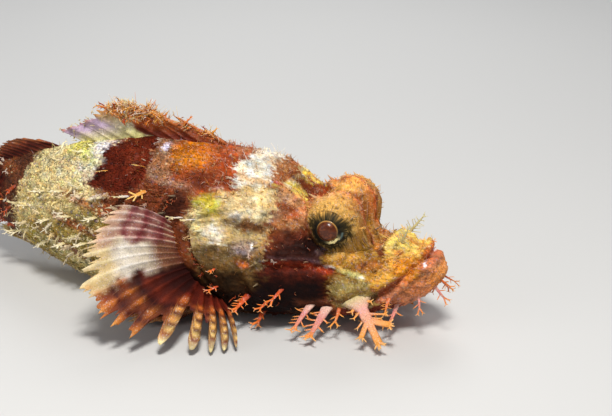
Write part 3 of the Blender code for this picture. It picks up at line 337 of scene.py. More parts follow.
def fine_rise(points, normals):
    """Grooves, warts and grain that only the skin has."""
    t, y, z = points[..., 0], np.abs(points[..., 1]), points[..., 2]
    faces_side = smoothstep((np.abs(normals[..., 1]) - 0.1) / 0.3)
    faces_up = smoothstep((normals[..., 2] - 0.1) / 0.3)
    on_head = fall(t, 64, 10)
    rise = np.zeros(t.shape)
    for view, line, height, half_width in FINE_LINES:
        flat, seen = (z, faces_side) if view == "side" else (y, faces_up)
        gap = distance_to_line(t, flat, line)
        knobbly = 1 + 0.5 * noise(points, 1.6, 5)
        rise += height * bell(gap, half_width) * seen * knobbly
    to_mouth = distance_to_line(t, z, MOUTH_LINE)
    rise -= mix(0.05, 0.6, ramp(t, 2, 8)) * bell(to_mouth, 0.8) * fall(t, 21, 3)
    gill_line = distance_to_line(t, z, GILL_COVER[1:8])
    behind = smoothstep((t - gill_edge_at(z)) / 0.3 + 0.5)
    rise -= 1.3 * bell(gill_line, 0.8) * behind * faces_side
    lumps = layered_noise(points, 6.0, 21, 2) * 0.38 + layered_noise(points, 2.4, 31, 2) * 0.17
    near, _, label = cells(points, WART_SIZE, 41)
    warts = np.clip(0.55 - near, 0, 1) * (0.25 + label) * 0.8
    small_near = cells(points, GRAIN_SIZE, 51)[0]
    grain = np.clip(0.6 - small_near, 0, 1) * 0.2
    away = smoothstep((eye_distance(points)[0] - 6.0) / 2.0 + (y < 8))
    lip = ramp(to_mouth, 0.6, 1.2)
    rough = (lumps + warts * on_head + grain * mix(0.7, 1.0, on_head)) * away * mix(0.35, 1, lip)
    smooth_cheek = np.exp(-(((t - 36) / 12) ** 2 + ((z - 12) / 8) ** 2))
    return rise + rough * (1 - 0.55 * smooth_cheek)


CONE_FROM, CONE_SLOPE = 4.9, 1.05


def open_orbits(points):
    """Lays the skin close round the eyes as a low cone and hides it behind them."""
    radius, angle = eye_distance(points)
    side = np.sign(points[..., 1])
    depth = np.abs(points[..., 1])
    ball = EYE_AT[1] + np.sqrt(EYE_RADIUS**2 - np.minimum(radius, CONE_FROM) ** 2)
    ball = ball - CONE_SLOPE * np.maximum(radius - CONE_FROM, 0)
    rim = 5.2 + 0.15 * np.sin(3 * angle + 1)
    lid = mix(-1.2, 0.10, smoothstep((radius - rim + 0.5) / 0.8))
    target = ball + lid
    near = fall(radius, 8.8, 2.6) * ramp(depth, 6.5, 2.0)
    streak = noise(np.stack([np.cos(angle) * 9, np.sin(angle) * 9, radius * 0.35], -1), 0.7, 201)
    folds = 0.16 * streak * ramp(radius, 5.0, 0.8) * fall(radius, 9.6, 2.0)
    moved = mix(depth, target, near * np.where(depth > target, 1.0, 0.65)) + folds * (depth > 7.5)
    out = points.copy()
    out[..., 1] = moved * side
    return out


def dig_nostrils(points):
    out = points.copy()
    for t, y in NOSTRILS:
        gap = np.hypot(points[..., 0] - t, np.abs(points[..., 1]) - y)
        above = points[..., 2] > WIDEST(points[..., 0]) + 3
        out[..., 2] -= (1.3 * bell(gap, 0.5) - 0.45 * bell(gap - 1.1, 0.35)) * above
    return out


def spine_table():
    at = np.linspace(JAW_TIP - 5, TAIL_FIN_END + 12, 800)
    share = np.clip((at - BEND_START) / (TAIL_FIN_END - BEND_START), 0, 1.2)
    heading = TAIL_TURN * share**TURN_GROWTH
    step = np.diff(at, prepend=at[0])
    return at, LIP_X - at[0] - np.cumsum(np.cos(heading) * step), np.cumsum(np.sin(heading) * step), heading


SPINE = spine_table()


def bend(points):
    """Fish coordinates to the model's own frame, in metres."""
    points = np.asarray(points, float)
    t, y, z = points[..., 0], points[..., 1], points[..., 2]
    at, x, middle, heading = SPINE
    turn = np.interp(t, at, heading)
    ahead = np.interp(t, at, x) + y * np.sin(turn)
    aside = np.interp(t, at, middle) + y * np.cos(turn)
    placed = np.stack([ahead, aside, z], -1)
    return placed * MM


def turned(directions, t):
    """Directions given as backwards, left and up in fish coordinates, in the model's frame."""
    directions = np.asarray(directions, float)
    heading = np.interp(t, SPINE[0], SPINE[3])
    back, left, up = directions[..., 0], directions[..., 1], directions[..., 2]
    ahead = -back * np.cos(heading) + left * np.sin(heading)
    aside = back * np.sin(heading) + left * np.cos(heading)
    return np.stack([ahead, aside, up], -1)


# The markings
def rgb(red, green, blue):
    """A colour as a screen shows it, turned into the amount of light."""
    v = np.array([red, green, blue], float) / 255
    return np.where(v <= 0.04045, v / 12.92, ((v + 0.055) / 1.055) ** 2.4)


def dye(colour, shade, share):
    """A colour with some of another laid over it, which is given as a screen shows it."""
    return mix(colour, rgb(*shade), share[..., None])


# Each marking: its kind, its measures in t and z, its softness, how strong it is, and its colour. A spot is
# its centre, radii and tilt, and an area its outline. A band is its line, with its half width in the place of
# the softness, which comes last.
MARKINGS = (
    ("area", ((-8, 2), (-8, 24), (2, 22), (12, 12.4), (24, 7), (24, 0), (-8, -2)), 0.8, 1.0,
     (192, 120, 80)),
    ("area", ((6, -2), (6, 8.6), (9, 11), (13, 10.6), (20, 8), (26, 5), (26, -2)), 1.2, 0.95,
     (104, 34, 20)),
    ("spot", (-3.9, 17.6, 1.8, 3.0, 0), 1.0, 0.8, (226, 142, 62)),
    ("spot", (3.2, 14.6, 6.5, 1.7, -42), 1.0, 0.6, (214, 132, 76)),
    ("band", ((-3, 23.4), (1.6, 20.8), (5.6, 16.6), (10, 12.8)), 1.1, 0.55, (186, 98, 54), 0.7),
    ("area", ((-3, 25), (-3, 34), (16, 34), (15, 15), (10, 14.6), (2, 21.6)), 1.0, 1.0, (208, 150, 56)),
    ("spot", (6, 26.6, 7.0, 3.4, 6), 1.6, 0.9, (222, 194, 98)),
    ("spot", (3.8, 20.6, 4.4, 2.4, -35), 1.3, 0.9, (204, 126, 16)),
    ("spot", (-1.6, 23.9, 2.0, 1.5, 0), 0.8, 0.9, (206, 100, 36)),
    ("spot", (0.4, 25.9, 0.22, 1.0, 30), 0.2, 0.9, (60, 34, 16)),
    ("spot", (1.2, 26.3, 0.22, 1.0, 30), 0.2, 0.9, (60, 34, 16)),
    ("spot", (2.0, 26.6, 0.22, 0.9, 30), 0.2, 0.9, (60, 34, 16)),
    ("spot", (-0.6, 21.6, 0.45, 0.45, 0), 0.2, 1.0, (250, 236, 240)),
    ("area", ((12, 12), (11, 30), (22, 30), (28, 27), (27, 20), (25, 9), (16, 9)), 1.5, 1.0,
     (154, 112, 38)),
    ("area", ((11.5, 9.5), (12, 15.4), (15, 16.8), (22, 18.2), (24.4, 14), (24, 8.5), (16, 7.4)), 0.8, 0.95,
     (140, 120, 66)),
    ("spot", (14.6, 20.6, 3.4, 1.5, 0), 1.2, 0.85, (150, 82, 26)),
    ("spot", (20.6, 22.6, 2.8, 1.2, 0), 1.0, 0.6, (206, 146, 56)),
    ("spot", (12.7, 24.0, 1.1, 1.2, 0), 0.5, 0.9, (96, 40, 22)),
    ("spot", (17.4, 26.2, 0.5, 0.5, 0), 0.2, 0.9, (40, 18, 12)),
    ("spot", (15.8, 20.4, 0.7, 0.9, 0), 0.3, 0.7, (70, 30, 16)),
    ("spot", (7.2, 24.2, 1.2, 0.7, 10), 0.4, 0.7, (202, 96, 24)),
    ("spot", (13.6, 28.4, 1.9, 0.8, -30), 0.5, 0.9, (240, 230, 240)),
    # Painted highlight: a white streak along the ridge below the eye
    ("band", ((26.4, 20.5), (23.4, 20.2)), 0.42, 1.0, (255, 254, 250), 0.25),
    ("band", ((22.2, 19.9), (19.0, 18.8), (15.2, 17.8)), 0.5, 0.75, (218, 208, 122), 0.6),
    ("spot", (15.4, 17.9, 0.7, 0.28, -10), 0.2, 0.9, (240, 236, 224)),
    ("area", ((24, 28), (24, 46), (34, 46), (37, 36), (34, 28)), 2.0, 1.0, (188, 138, 80)),
    ("spot", (24, 38.4, 3.4, 1.6, 20), 1.0, 0.5, (232, 176, 96)),
    ("area", ((30, 26), (30, 38), (44, 38), (44, 27)), 1.8, 1.0, (130, 62, 24)),
    ("spot", (37, 31.2, 3.6, 1.8, 0), 1.2, 0.5, (180, 128, 78)),
    ("spot", (35.6, 33.6, 2.6, 1.2, 30), 0.8, 0.6, (196, 84, 40)),
    ("area", ((30, 36.5), (36, 37.5), (41, 39.5), (38, 43), (30, 41)), 1.2, 0.6, (214, 150, 84)),
    ("area", ((39, 38), (38, 49), (46, 50), (46.4, 38)), 1.4, 0.9, (146, 86, 44)),
    ("spot", (43.4, 38.0, 2.6, 1.5, 12), 0.8, 0.9, (116, 54, 24)),
    ("band", ((44.4, 40.8), (41.0, 39.9), (38.4, 38.8), (36.0, 36.9), (33.6, 36.2)), 0.2, 0.85,
     (240, 216, 84), 0.3),
    ("band", ((41.0, 40.3), (38.4, 39.4)), 0.15, 0.8, (246, 240, 190), 0.3),
    # Partly painted shade: the cheek below the eye is dark in its own colour and is painted nearly black for
    # the shade it lies in. The two spots after it are painted shadow under the eye.
    ("area", ((25, 8), (25.6, 22), (27.4, 27), (31, 29.2), (36.4, 29.6), (40, 28.4), (43.0, 25), (44, 8)),
     1.6, 0.95, (48, 15, 7)),
    ("spot", (30.5, 25.6, 3.6, 2.2, -14), 1.4, 0.95, (26, 8, 5)),
    ("spot", (36.5, 25.0, 3.0, 1.3, 8), 1.0, 0.7, (34, 11, 6)),
    ("spot", (39.5, 27.4, 2.6, 1.4, 0), 1.2, 0.6, (96, 42, 22)),
    ("spot", (33.5, 28.6, 1.6, 0.8, 20), 0.8, 0.6, (112, 48, 24)),
    ("spot", (27.8, 24.6, 0.9, 1.0, 0), 0.6, 0.5, (96, 78, 84)),
    # Painted shade: the lower cheek and the underside of the head are painted near black for the deep shade
    # beneath the head
    ("area", ((24, 16), (25, 20.5), (36, 21.6), (47, 21.6), (50, 17), (50, 2), (24, 2)), 1.6, 0.95,
     (60, 17, 6)),
    ("area", ((26, -2), (25.6, 16.2), (40, 17.0), (62, 16.5), (72, 19.5), (72, -2)), 2.2, 0.97, (18, 5, 3)),
    ("band", ((24, 18.6), (31, 20.4), (39, 20.9), (46, 19.4), (49.5, 16.2)), 1.2, 0.9, (112, 34, 12), 1.8),
    ("band", ((24.2, 18.8), (28, 19.9), (32, 20.8)), 0.35, 0.85, (184, 62, 20), 0.9),
    ("band", ((27, 21.9), (30.6, 22.8), (34.5, 23.2), (38, 22.6), (41, 23.2)), 0.32, 0.38, (150, 112, 118),
     0.8),
    ("band", ((18.6, 10.6), (23, 10.2), (28, 9.6), (33, 9.2)), 0.9, 0.75, (100, 54, 34), 1.2),
    ("area", ((43, 19), (43, 40), (52, 40), (62, 40), (69, 33), (66.4, 27), (63.4, 21), (58, 16)), 0.8, 1.0,
     (186, 160, 106)),
    ("area", ((44, 15), (44, 25), (58, 25), (66, 22), (61, 14), (50, 12)), 2.0, 0.95, (92, 66, 32)),
    # Painted shade: the lower part of the gill cover is painted dark for the shade beneath it
    ("area", ((46, 12), (50, 18), (60, 17), (62, 13), (56, 8)), 2.0, 0.85, (38, 22, 10)),
    ("spot", (47.8, 30.2, 6.8, 2.0, -4), 1.2, 0.95, (84, 46, 20)),
    ("spot", (48, 33.6, 5.6, 1.5, -4), 1.2, 0.7, (212, 196, 152)),
    ("spot", (49, 36.6, 6.4, 1.9, 6), 1.6, 0.75, (216, 192, 144)),
    ("spot", (52.6, 33.2, 2.4, 0.8, -6), 0.8, 0.7, (214, 208, 200)),
    ("spot", (62.4, 35.6, 6.2, 2.5, -16), 1.5, 0.95, (168, 160, 50)),
    ("spot", (60.2, 36.0, 3.2, 1.5, -16), 1.0, 0.8, (206, 192, 62)),
    ("spot", (59.4, 39.0, 2.6, 0.6, 6), 0.4, 0.85, (238, 232, 226)),
    ("spot", (63.0, 29.4, 3.6, 3.4, 0), 1.5, 0.8, (206, 194, 140)),
    ("spot", (57.6, 27.6, 3.0, 1.7, -8), 0.9, 0.9, (216, 212, 200)),
    ("spot", (48.2, 24.8, 3.2, 1.9, 0), 1.2, 0.75, (146, 124, 120)),
    ("spot", (46.3, 25.2, 0.35, 0.9, 0), 0.2, 1.0, (252, 252, 255)),
    ("band", ((53, 25.0), (61, 25.3)), 0.22, 0.8, (240, 232, 206), 0.2),
    ("band", ((42.4, 29.6), (43.2, 24.6), (46.4, 21.8)), 0.5, 0.8, (170, 124, 66), 0.5),
    ("spot", (48.4, 20.4, 1.8, 0.8, -20), 0.6, 0.8, (206, 104, 40)),
    ("area", ((54, 38.6), (55, 50), (86, 50), (84, 36), (66, 36)), 1.5, 1.0, (136, 58, 22)),
    ("spot", (58.4, 44.0, 3.6, 3.2, 0), 1.6, 0.8, (176, 74, 20)),
    ("spot", (68.6, 44.4, 8.4, 3.4, -6), 3.2, 0.95, (154, 70, 10)),
    ("spot", (71.4, 44.6, 5.0, 2.0, 6), 2.0, 0.9, (212, 128, 14)),
    ("spot", (60.0, 43.4, 2.6, 2.6, 0), 1.4, 0.6, (120, 46, 18)),
    ("spot", (64, 40.2, 6.4, 1.5, -4), 1.4, 0.8, (96, 36, 16)),
    ("area", ((46, 41.4), (46.2, 44.8), (50, 45.9), (54.8, 46.2), (56.0, 43), (55.0, 39.8), (48, 38.9)),
     0.7, 1.0, (218, 213, 196)),
    ("band", ((45.2, 44.6), (49, 46.3), (54, 46.9), (58, 46.9)), 0.5, 0.8, (150, 92, 52), 0.9),
    ("band", ((54.5, 42.4), (50.5, 41.0), (46.0, 41.2)), 0.7, 0.8, (204, 160, 104), 0.5),
    ("area", ((66, 20), (66, 37), (86, 38), (93, 30), (98, 20)), 2.2, 1.0, (116, 56, 28)),
    ("spot", (74, 38.6, 6, 1.2, -6), 1.0, 0.6, (160, 128, 104)),
    ("spot", (72, 32.2, 4.0, 3.4, 0), 1.4, 0.95, (52, 20, 10)),
    ("area", ((75, 38.6), (77, 50), (85, 50), (83, 38)), 1.2, 0.9, (150, 104, 72)),
    ("spot", (83, 46.8, 1.0, 1.0, 0), 0.3, 1.0, (244, 236, 228)),
    ("spot", (78.7, 45.6, 1.2, 0.9, 0), 0.4, 0.9, (226, 214, 236)),
    ("area", ((94, 20), (98, 50), (134, 50), (134, 0), (98, 0)), 2.5, 1.0, (206, 184, 124)),
    ("spot", (99.4, 41.6, 5.6, 3.8, -26), 2.0, 0.95, (230, 222, 228)),
    ("spot", (102.0, 37.4, 5.0, 2.6, -30), 2.0, 0.6, (224, 214, 206)),
    ("spot", (107, 42.2, 9, 2.6, -16), 1.6, 0.9, (214, 206, 96)),
    ("spot", (110, 34.4, 8, 3.0, -16), 2.2, 0.5, (216, 200, 160)),
    ("area", ((97, 41.5), (92, 45.3), (90.6, 50), (83.6, 50), (81.8, 43.5), (81.5, 39.5), (85.5, 34.6),
              (92.7, 33.4),
              (100.2, 33.0), (97.6, 37), (95.5, 40)), 0.6, 1.0, (92, 29, 11)),
    ("spot", (86.4, 41.6, 3.4, 3.0, 0), 1.4, 0.5, (124, 48, 20)),
    ("band", ((96.0, 42), (96.4, 38), (99.0, 34.6)), 1.3, 0.7, (54, 13, 9), 1.0),
    ("spot", (92, 32.0, 5.5, 1.2, -8), 0.9, 0.8, (112, 54, 26)),
    ("spot", (100, 28.2, 7.5, 1.6, -12), 1.4, 0.85, (156, 80, 34)),
    ("area", ((84, 4), (84, 27), (98, 27), (110, 22), (122, 17), (120, 4)), 2.6, 0.85, (132, 112, 44)),
    ("spot", (102, 21.6, 9, 1.1, -8), 0.8, 0.8, (136, 66, 34)),
    ("spot", (90, 27, 6, 1.6, -10), 1.2, 0.7, (128, 58, 28)),
    ("spot", (106, 13.6, 12, 1.2, -16), 1.0, 0.8, (116, 56, 30)),
    ("spot", (104, 10.4, 10, 1.6, -14), 1.2, 0.6, (206, 190, 130)),
    ("spot", (122, 12, 4.6, 4.2, 0), 1.8, 0.8, (160, 136, 40)),
    ("area", ((127, -4), (128, 14), (125, 27), (123, 34), (127, 50), (175, 50), (175, -4)), 1.6, 0.95,
     (74, 20, 12)),
    ("spot", (136, 30.5, 7, 2.0, -18), 1.4, 0.6, (150, 84, 40)),
    ("spot", (148, 22, 5, 4, 0), 2.0, 0.6, (168, 128, 76)),
)
TOP_MARKINGS = (
    # Partly painted light: the brows' front faces are painted their own amber, but lighter, where they lie in
    # shade
    ("spot", (25, 5.4, 5.6, 3.0, 12), 1.4, 0.8, (212, 156, 74)),
    ("band", ((28, 7.4), (22, 6.2), (14, 4.4)), 1.6, 0.5, (206, 122, 60), 0.8),
    ("band", ((44, 9.6), (36, 8.6), (28, 7.4), (22, 6.2), (15, 4.6)), 0.3, 0.7, (184, 66, 36), 0.36),
    ("spot", (22, 0, 6, 2.6, 0), 1.6, 0.5, (176, 100, 48)),
    ("band", ((40, 9.6), (34, 9.4), (27, 9.6)), 1.4, 0.5, (218, 170, 118), 1.0),
    ("spot", (38, 0, 4.5, 3.2, 0), 1.6, 0.85, (96, 40, 18)),
    ("spot", (47, 0, 4.0, 3.0, 0), 1.8, 0.45, (176, 134, 84)),
    ("spot", (6.5, 0, 6, 1.4, 0), 1.2, 0.7, (186, 110, 34)),
)


def mask_of(kind, shape, soft, u, v, shift_u, shift_v, half_width=None):
    """How far inside a marking each point lies, from 0 to 1. Small markings are shifted less."""
    size = {"spot": 0.0, "band": half_width, "area": 9.0}[kind]
    if kind == "spot":
        size = min(shape[2], shape[3])
    strength = min(max(size / 2.2, 0.2), 1.0)
    u, v = u + shift_u * strength, v + shift_v * strength
    if kind == "spot":
        cu, cv, ru, rv, tilt = shape
        turn = math.radians(tilt)
        du, dv = u - cu, v - cv
        a = (du * math.cos(turn) - dv * math.sin(turn)) / ru
        b = (du * math.sin(turn) + dv * math.cos(turn)) / rv
        gap = (1 - np.hypot(a, b)) * min(ru, rv)
    elif kind == "band":
        gap = half_width - distance_to_line(u, v, shape)
    else:
        inside = np.zeros(np.shape(u), bool)
        for (u0, v0), (u1, v1) in zip(shape, shape[1:] + shape[:1]):
            if v0 != v1:
                crosses = (v0 > v) != (v1 > v)
                inside ^= crosses & (u < (u1 - u0) * (v - v0) / (v1 - v0) + u0)
        gap = distance_to_line(u, v, shape + shape[:1]) * np.where(inside, 1, -1)
    return smoothstep(gap / (2 * soft) + 0.5)


def add_markings(colour, table, u, v, shift_u, shift_v, within=1.0):
    for kind, shape, size, strength, tint, *rest in table:
        soft, half_width = (rest[0], size) if rest else (size, None)
        share = mask_of(kind, shape, soft, u, v, shift_u, shift_v, half_width) * strength * within
        colour = dye(colour, tint, share)
    return colour


def paint(points):
    """The colour of the fish's skin at points in fish coordinates."""
    points = np.asarray(points, float)
    far = np.concatenate([points[..., :1], points[..., 1:2] + 300.0, points[..., 2:]], -1)
    shift_t = layered_noise(far, 5.0, 61, 2) * 1.0 + noise(far, 1.3, 65) * 0.5 + noise(far, 0.6, 66) * 0.35
    shift_z = layered_noise(far, 5.0, 71, 2) * 0.9 + noise(far, 1.3, 75) * 0.45 + noise(far, 0.6, 76) * 0.35
    brushed = far * np.array([0.16, 1.0, 1.0])
    shift_t = shift_t + 1.5 * noise(brushed, 0.55, 67) + 0.8 * noise(brushed, 0.3, 68)
    t, y, z = points[..., 0], points[..., 1], points[..., 2]
    colour = np.broadcast_to(rgb(132, 64, 30), (*t.shape, 3)).copy()
    colour = add_markings(colour, MARKINGS, t, z, shift_t, shift_z)
    above = smoothstep((z - WIDEST(t) - 4) / 4)
    colour = add_markings(colour, TOP_MARKINGS, t, np.abs(y), shift_t, shift_z * 0.6, above)
    belly = smoothstep((UNDER(t) + 5 - z) / 6) * ramp(t, 10, 20)
    blotch = smoothstep(layered_noise(far, 4.0, 81, 3) * 1.6 + 0.5)
    under = mix(rgb(80, 30, 18), rgb(168, 118, 78), blotch[..., None])
    colour = mix(colour, under, (belly * 0.45)[..., None])
    return speckle(far, colour, t)


def speckle(far, colour, t):
    """Dots, flecks and a fine network over the markings."""
    bright = colour.mean(-1)
    lit = ramp(bright, 0.03, 0.14)[..., None]
    brushed = far * np.array([0.2, 1.0, 1.0])
    streak = (noise(brushed, 0.6, 141) * 0.6 + noise(brushed, 0.32, 142) * 0.5)[..., None]
    streak = streak * (1 - 0.6 * ramp(t, 70, 12))[..., None]
    colour = colour * (1 + streak * np.array([0.42, 0.52, 0.62]))
    rear = (ramp(t, 90, 10) * fall(t, 136, 6))[..., None]
    near, next_near, label = cells(far, 0.85, 91)
    net = smoothstep((0.20 - (next_near - near)) / 0.16)[..., None] * mix(0.16, 0.30, rear)
    dots = fall(near, 0.46, 0.16)[..., None]
    pores = mix(0.14, 0.42, rear) * dots * (label > 0.35)[..., None]
    red, blue = noise(far, 0.75, 95), noise(far + 100.0, 0.75, 97)
    tint = np.stack([red, (red + blue) / 2, blue], -1)
    colour = colour * (1 + net - pores)
    colour = colour * (1 + 0.16 * tint) + 0.012 * np.maximum(tint, 0) * lit
    lilac = ramp(label, 0.80, 0.06)[..., None] * dots
    colour = mix(colour, rgb(206, 190, 226), lilac * 0.2 * lit)
    pale = fall(label, 0.16, 0.05)[..., None] * dots
    colour = mix(colour, rgb(246, 232, 184), pale * 0.24 * lit)
    small_near, _, small_label = cells(far, 0.5, 101)
    spark = (fall(small_near, 0.30, 0.12) * (small_label > 0.80))[..., None]
    colour = mix(colour, rgb(252, 244, 226), spark * 0.22 * lit)
    pit = (fall(small_near, 0.36, 0.16) * (small_label < 0.22))[..., None]
    colour = colour * (1 - 0.55 * pit)
    tone = layered_noise(far, 2.6, 121, 3)
    colour = colour * (1 + 0.34 * tone)[..., None]
    warm = noise(far, 1.7, 131)[..., None]
    colour = colour * (1 + warm * np.array([0.10, 0.0, -0.22]))
    return np.clip(colour, 0.0015, 0.92)


# Meshes
def make_mesh(name, points, faces, colours, uv, finish, replaces=()):
    """One piece of the fish. faces is a list of arrays, one for each number of corners."""
    mesh = bpy.data.meshes.new(name)
    mesh.vertices.add(len(points))
    mesh.vertices.foreach_set("co", np.asarray(points, np.float32).ravel())
    corners = np.concatenate([f.ravel() for f in faces]).astype(np.int32)
    counts = np.concatenate([np.full(len(f), f.shape[1]) for f in faces]).astype(np.int32)
    starts = np.concatenate([[0], np.cumsum(counts)[:-1]]).astype(np.int32)
    mesh.loops.add(len(corners))
    mesh.loops.foreach_set("vertex_index", corners)
    mesh.polygons.add(len(counts))
    mesh.polygons.foreach_set("loop_start", starts)
    mesh.polygons.foreach_set("loop_total", counts)
    mesh.update(calc_edges=True)
    mesh.validate()
    mesh.shade_smooth()
    shade = mesh.attributes.new("paint", "FLOAT_COLOR", "POINT")
    full = np.concatenate([colours, np.ones((len(colours), 1))], 1).astype(np.float32)
    shade.data.foreach_set("color", full.ravel())
    layer = mesh.uv_layers.new(name="OFBake")
    at = np.zeros(len(mesh.loops), np.int32)
    mesh.loops.foreach_get("vertex_index", at)
    layer.data.foreach_set("uv", np.asarray(uv, np.float32)[at].ravel())
    obj = bpy.data.objects.new(name, mesh)
    bpy.context.scene.collection.objects.link(obj)
    mesh.materials.append(finish)
    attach(obj, "root")
    if replaces:
        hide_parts(*replaces)
    return obj


def ring_faces(rings, sides):
    """Quads between neighbouring closed rings of points."""
    i = np.arange(rings - 1)[:, None] * sides
    j = np.arange(sides)[None, :]
    k = (j + 1) % sides
    return np.stack([i + j, i + k, i + sides + k, i + sides + j], -1).reshape(-1, 4)


def end_fan(centre, first, sides, flip=False):
    """Triangles between a centre point and a closed ring of points whose numbers start at first."""
    here = first + np.arange(sides)
    there = first + (np.arange(sides) + 1) % sides
    pair = (there, here) if flip else (here, there)
    return np.stack([np.full(sides, centre), *pair], -1)


# Finishes
FIBRE_MM, FIBRE_STRETCH = 0.34, (0.18, 1.0, 1.0)
RELIEF_CELLS, RELIEF_DEPTH = 700.0, 0.00015
GLOSS_SPREAD = 0.12

# Dots of a finish: their size in mm, which share of them shows, and their colour as an amount of light
DOT_EDGE = (0.42, 0.22)
DOTS = (
    (0.62, 0.60, 1.0, (0.82, 0.74, 0.50)),
    (0.50, 0.72, 1.0, (0.66, 0.58, 0.86)),
    (0.56, 0.0, 0.30, (0.10, 0.03, 0.01)),
)


def node_of(tree, kind, values=(), links=()):
    """A new node with its settings, its input values and the outputs that feed its inputs."""
    node = tree.nodes.new("ShaderNode" + kind)
    for name, value in values:
        if isinstance(name, str) and hasattr(node, name):
            setattr(node, name, value)
        else:
            node.inputs[name].default_value = value
    for name, output in links:
        tree.links.new(output, node.inputs[name])
    return node


def grained(tree, place, size_mm, detail):
    """Grain of one size."""
    settings = [("Scale", 1000.0 / size_mm), ("Detail", detail)]
    return node_of(tree, "TexNoise", settings, [("Vector", place)]).outputs["Fac"]


def ranged(tree, value, low, high, to_low=0.0, to_high=1.0):
    """A value that runs from low to high, made to run from to_low to to_high."""
    limits = zip(("From Min", "From Max", "To Min", "To Max"), (low, high, to_low, to_high))
    return node_of(tree, "MapRange", limits, [("Value", value)]).outputs["Result"]


def worked(tree, operation, one, two):
    """A sum with two outputs, or with an output and a number."""
    numbers, outputs = ([(1, two)], []) if isinstance(two, float) else ([], [(1, two)])
    settings = [("operation", operation), *numbers]
    return node_of(tree, "Math", settings, [(0, one), *outputs]).outputs["Value"]


def scaled(tree, colour, share):
    """A colour made lighter or darker."""
    links = [(0, colour), ("Scale", share)]
    return node_of(tree, "VectorMath", [("operation", "SCALE")], links).outputs["Vector"]


def flecked(tree, place, paint_in, colour, strength):
    """Tiny dots where a painted colour isn't dark: cream ones, lilac ones and dark ones."""
    bright = node_of(tree, "RGBToBW", (), [("Color", paint_in)]).outputs["Val"]
    lit = ranged(tree, bright, 0.03, 0.20)
    for size_mm, low, high, light in DOTS:
        dots = node_of(tree, "TexVoronoi", [("Scale", 1000.0 / size_mm)], [("Vector", place)])
        split = node_of(tree, "SeparateColor", (), [("Color", dots.outputs["Color"])])
        number = split.outputs["Red"]
        inside = ranged(tree, dots.outputs["Distance"], *DOT_EDGE)
        share = worked(tree, "GREATER_THAN", number, low)
        for factor in (worked(tree, "LESS_THAN", number, high), inside, lit, strength):
            share = worked(tree, "MULTIPLY", share, factor)
        settings = [("data_type", "RGBA"), (7, (*light, 1.0))]
        colour = node_of(tree, "Mix", settings, [(0, share), (6, colour)]).outputs[2]
    return colour


def finish_of(name, roughness, bump, grain_mm, variation=0.12, specular=0.25, fibre=0.0, fleck=0.0,
              coat=0.0,
              coat_roughness=0.18):
    """A skin finish: the painted colour with grain, fibres, dots, small bumps and uneven gloss."""
    made = bpy.data.materials.new(name)
    made.use_nodes = True
    tree = made.node_tree
    paint_in = node_of(tree, "Attribute", [("attribute_name", "paint")]).outputs["Color"]
    place = node_of(tree, "TexCoord").outputs["Object"]
    grain = grained(tree, place, grain_mm, 3.0)
    colour = scaled(tree, paint_in, ranged(tree, grain, 0.25, 0.75, 1 - variation, 1 + variation))
    if fibre:
        along = node_of(tree, "Mapping", [("Scale", FIBRE_STRETCH)], [("Vector", place)])
        threads = grained(tree, along.outputs["Vector"], FIBRE_MM, 2.0)
        colour = scaled(tree, colour, ranged(tree, threads, 0.3, 0.7, 1 - fibre, 1 + fibre))
    if fleck:
        colour = flecked(tree, place, paint_in, colour, fleck)
    cell = node_of(tree, "TexVoronoi", [("Scale", RELIEF_CELLS / grain_mm)], [("Vector", place)])
    height = worked(tree, "SUBTRACT", grain, cell.outputs["Distance"])
    relief = node_of(tree, "Bump", [("Strength", bump), ("Distance", RELIEF_DEPTH)], [("Height", height)])
    gloss = ranged(tree, grain, 0.0, 1.0, roughness - GLOSS_SPREAD, roughness + GLOSS_SPREAD)
    inputs = tree.nodes["Principled BSDF"].inputs
    tree.links.new(colour, inputs["Base Color"])
    tree.links.new(relief.outputs["Normal"], inputs["Normal"])
    tree.links.new(gloss, inputs["Roughness"])
    inputs["Specular IOR Level"].default_value = specular
    inputs["Coat Weight"].default_value = coat
    inputs["Coat Roughness"].default_value = coat_roughness
    return made


SKIN_FINISH = finish_of("fish_skin", 0.60, 0.6, 0.40, variation=0.20, specular=0.09, fibre=0.24, fleck=0.18)
SCALE_FINISH = finish_of("fish_scales", 0.56, 0.5, 0.35, variation=0.20, specular=0.09, fibre=0.1,
                         fleck=0.18)
FLAP_FINISH = finish_of("skin_flaps", 0.50, 0.4, 0.35, variation=0.22, specular=0.15, fleck=0.35)
FIN_FINISH = finish_of("fin_web", 0.52, 0.5, 0.40, variation=0.18, specular=0.13, fleck=0.3)
SPINE_FINISH = finish_of("head_spines", 0.45, 0.2, 0.4, specular=0.3)
EYE_FINISH = finish_of("iris", 0.62, 0.08, 0.4, variation=0.14, specular=0.15)
PUPIL_FINISH = finish_of("pupil", 0.36, 0.03, 0.4, variation=0.10, coat=0.22, coat_roughness=0.06)


# The skin
NOSE_ROWS, TRUNK_ROWS, TAIL_ROWS = 34, 262, 14
HEAD_STEP, HEAD_END = 0.27, 70
SIDES, SIDE_CROWDING = 352, 0.3
STALK_FROM, STALK_RUN, STALK_THINNING = 146, 13, 0.62
UV_SPAN, UV_EDGE = 0.96, 0.02


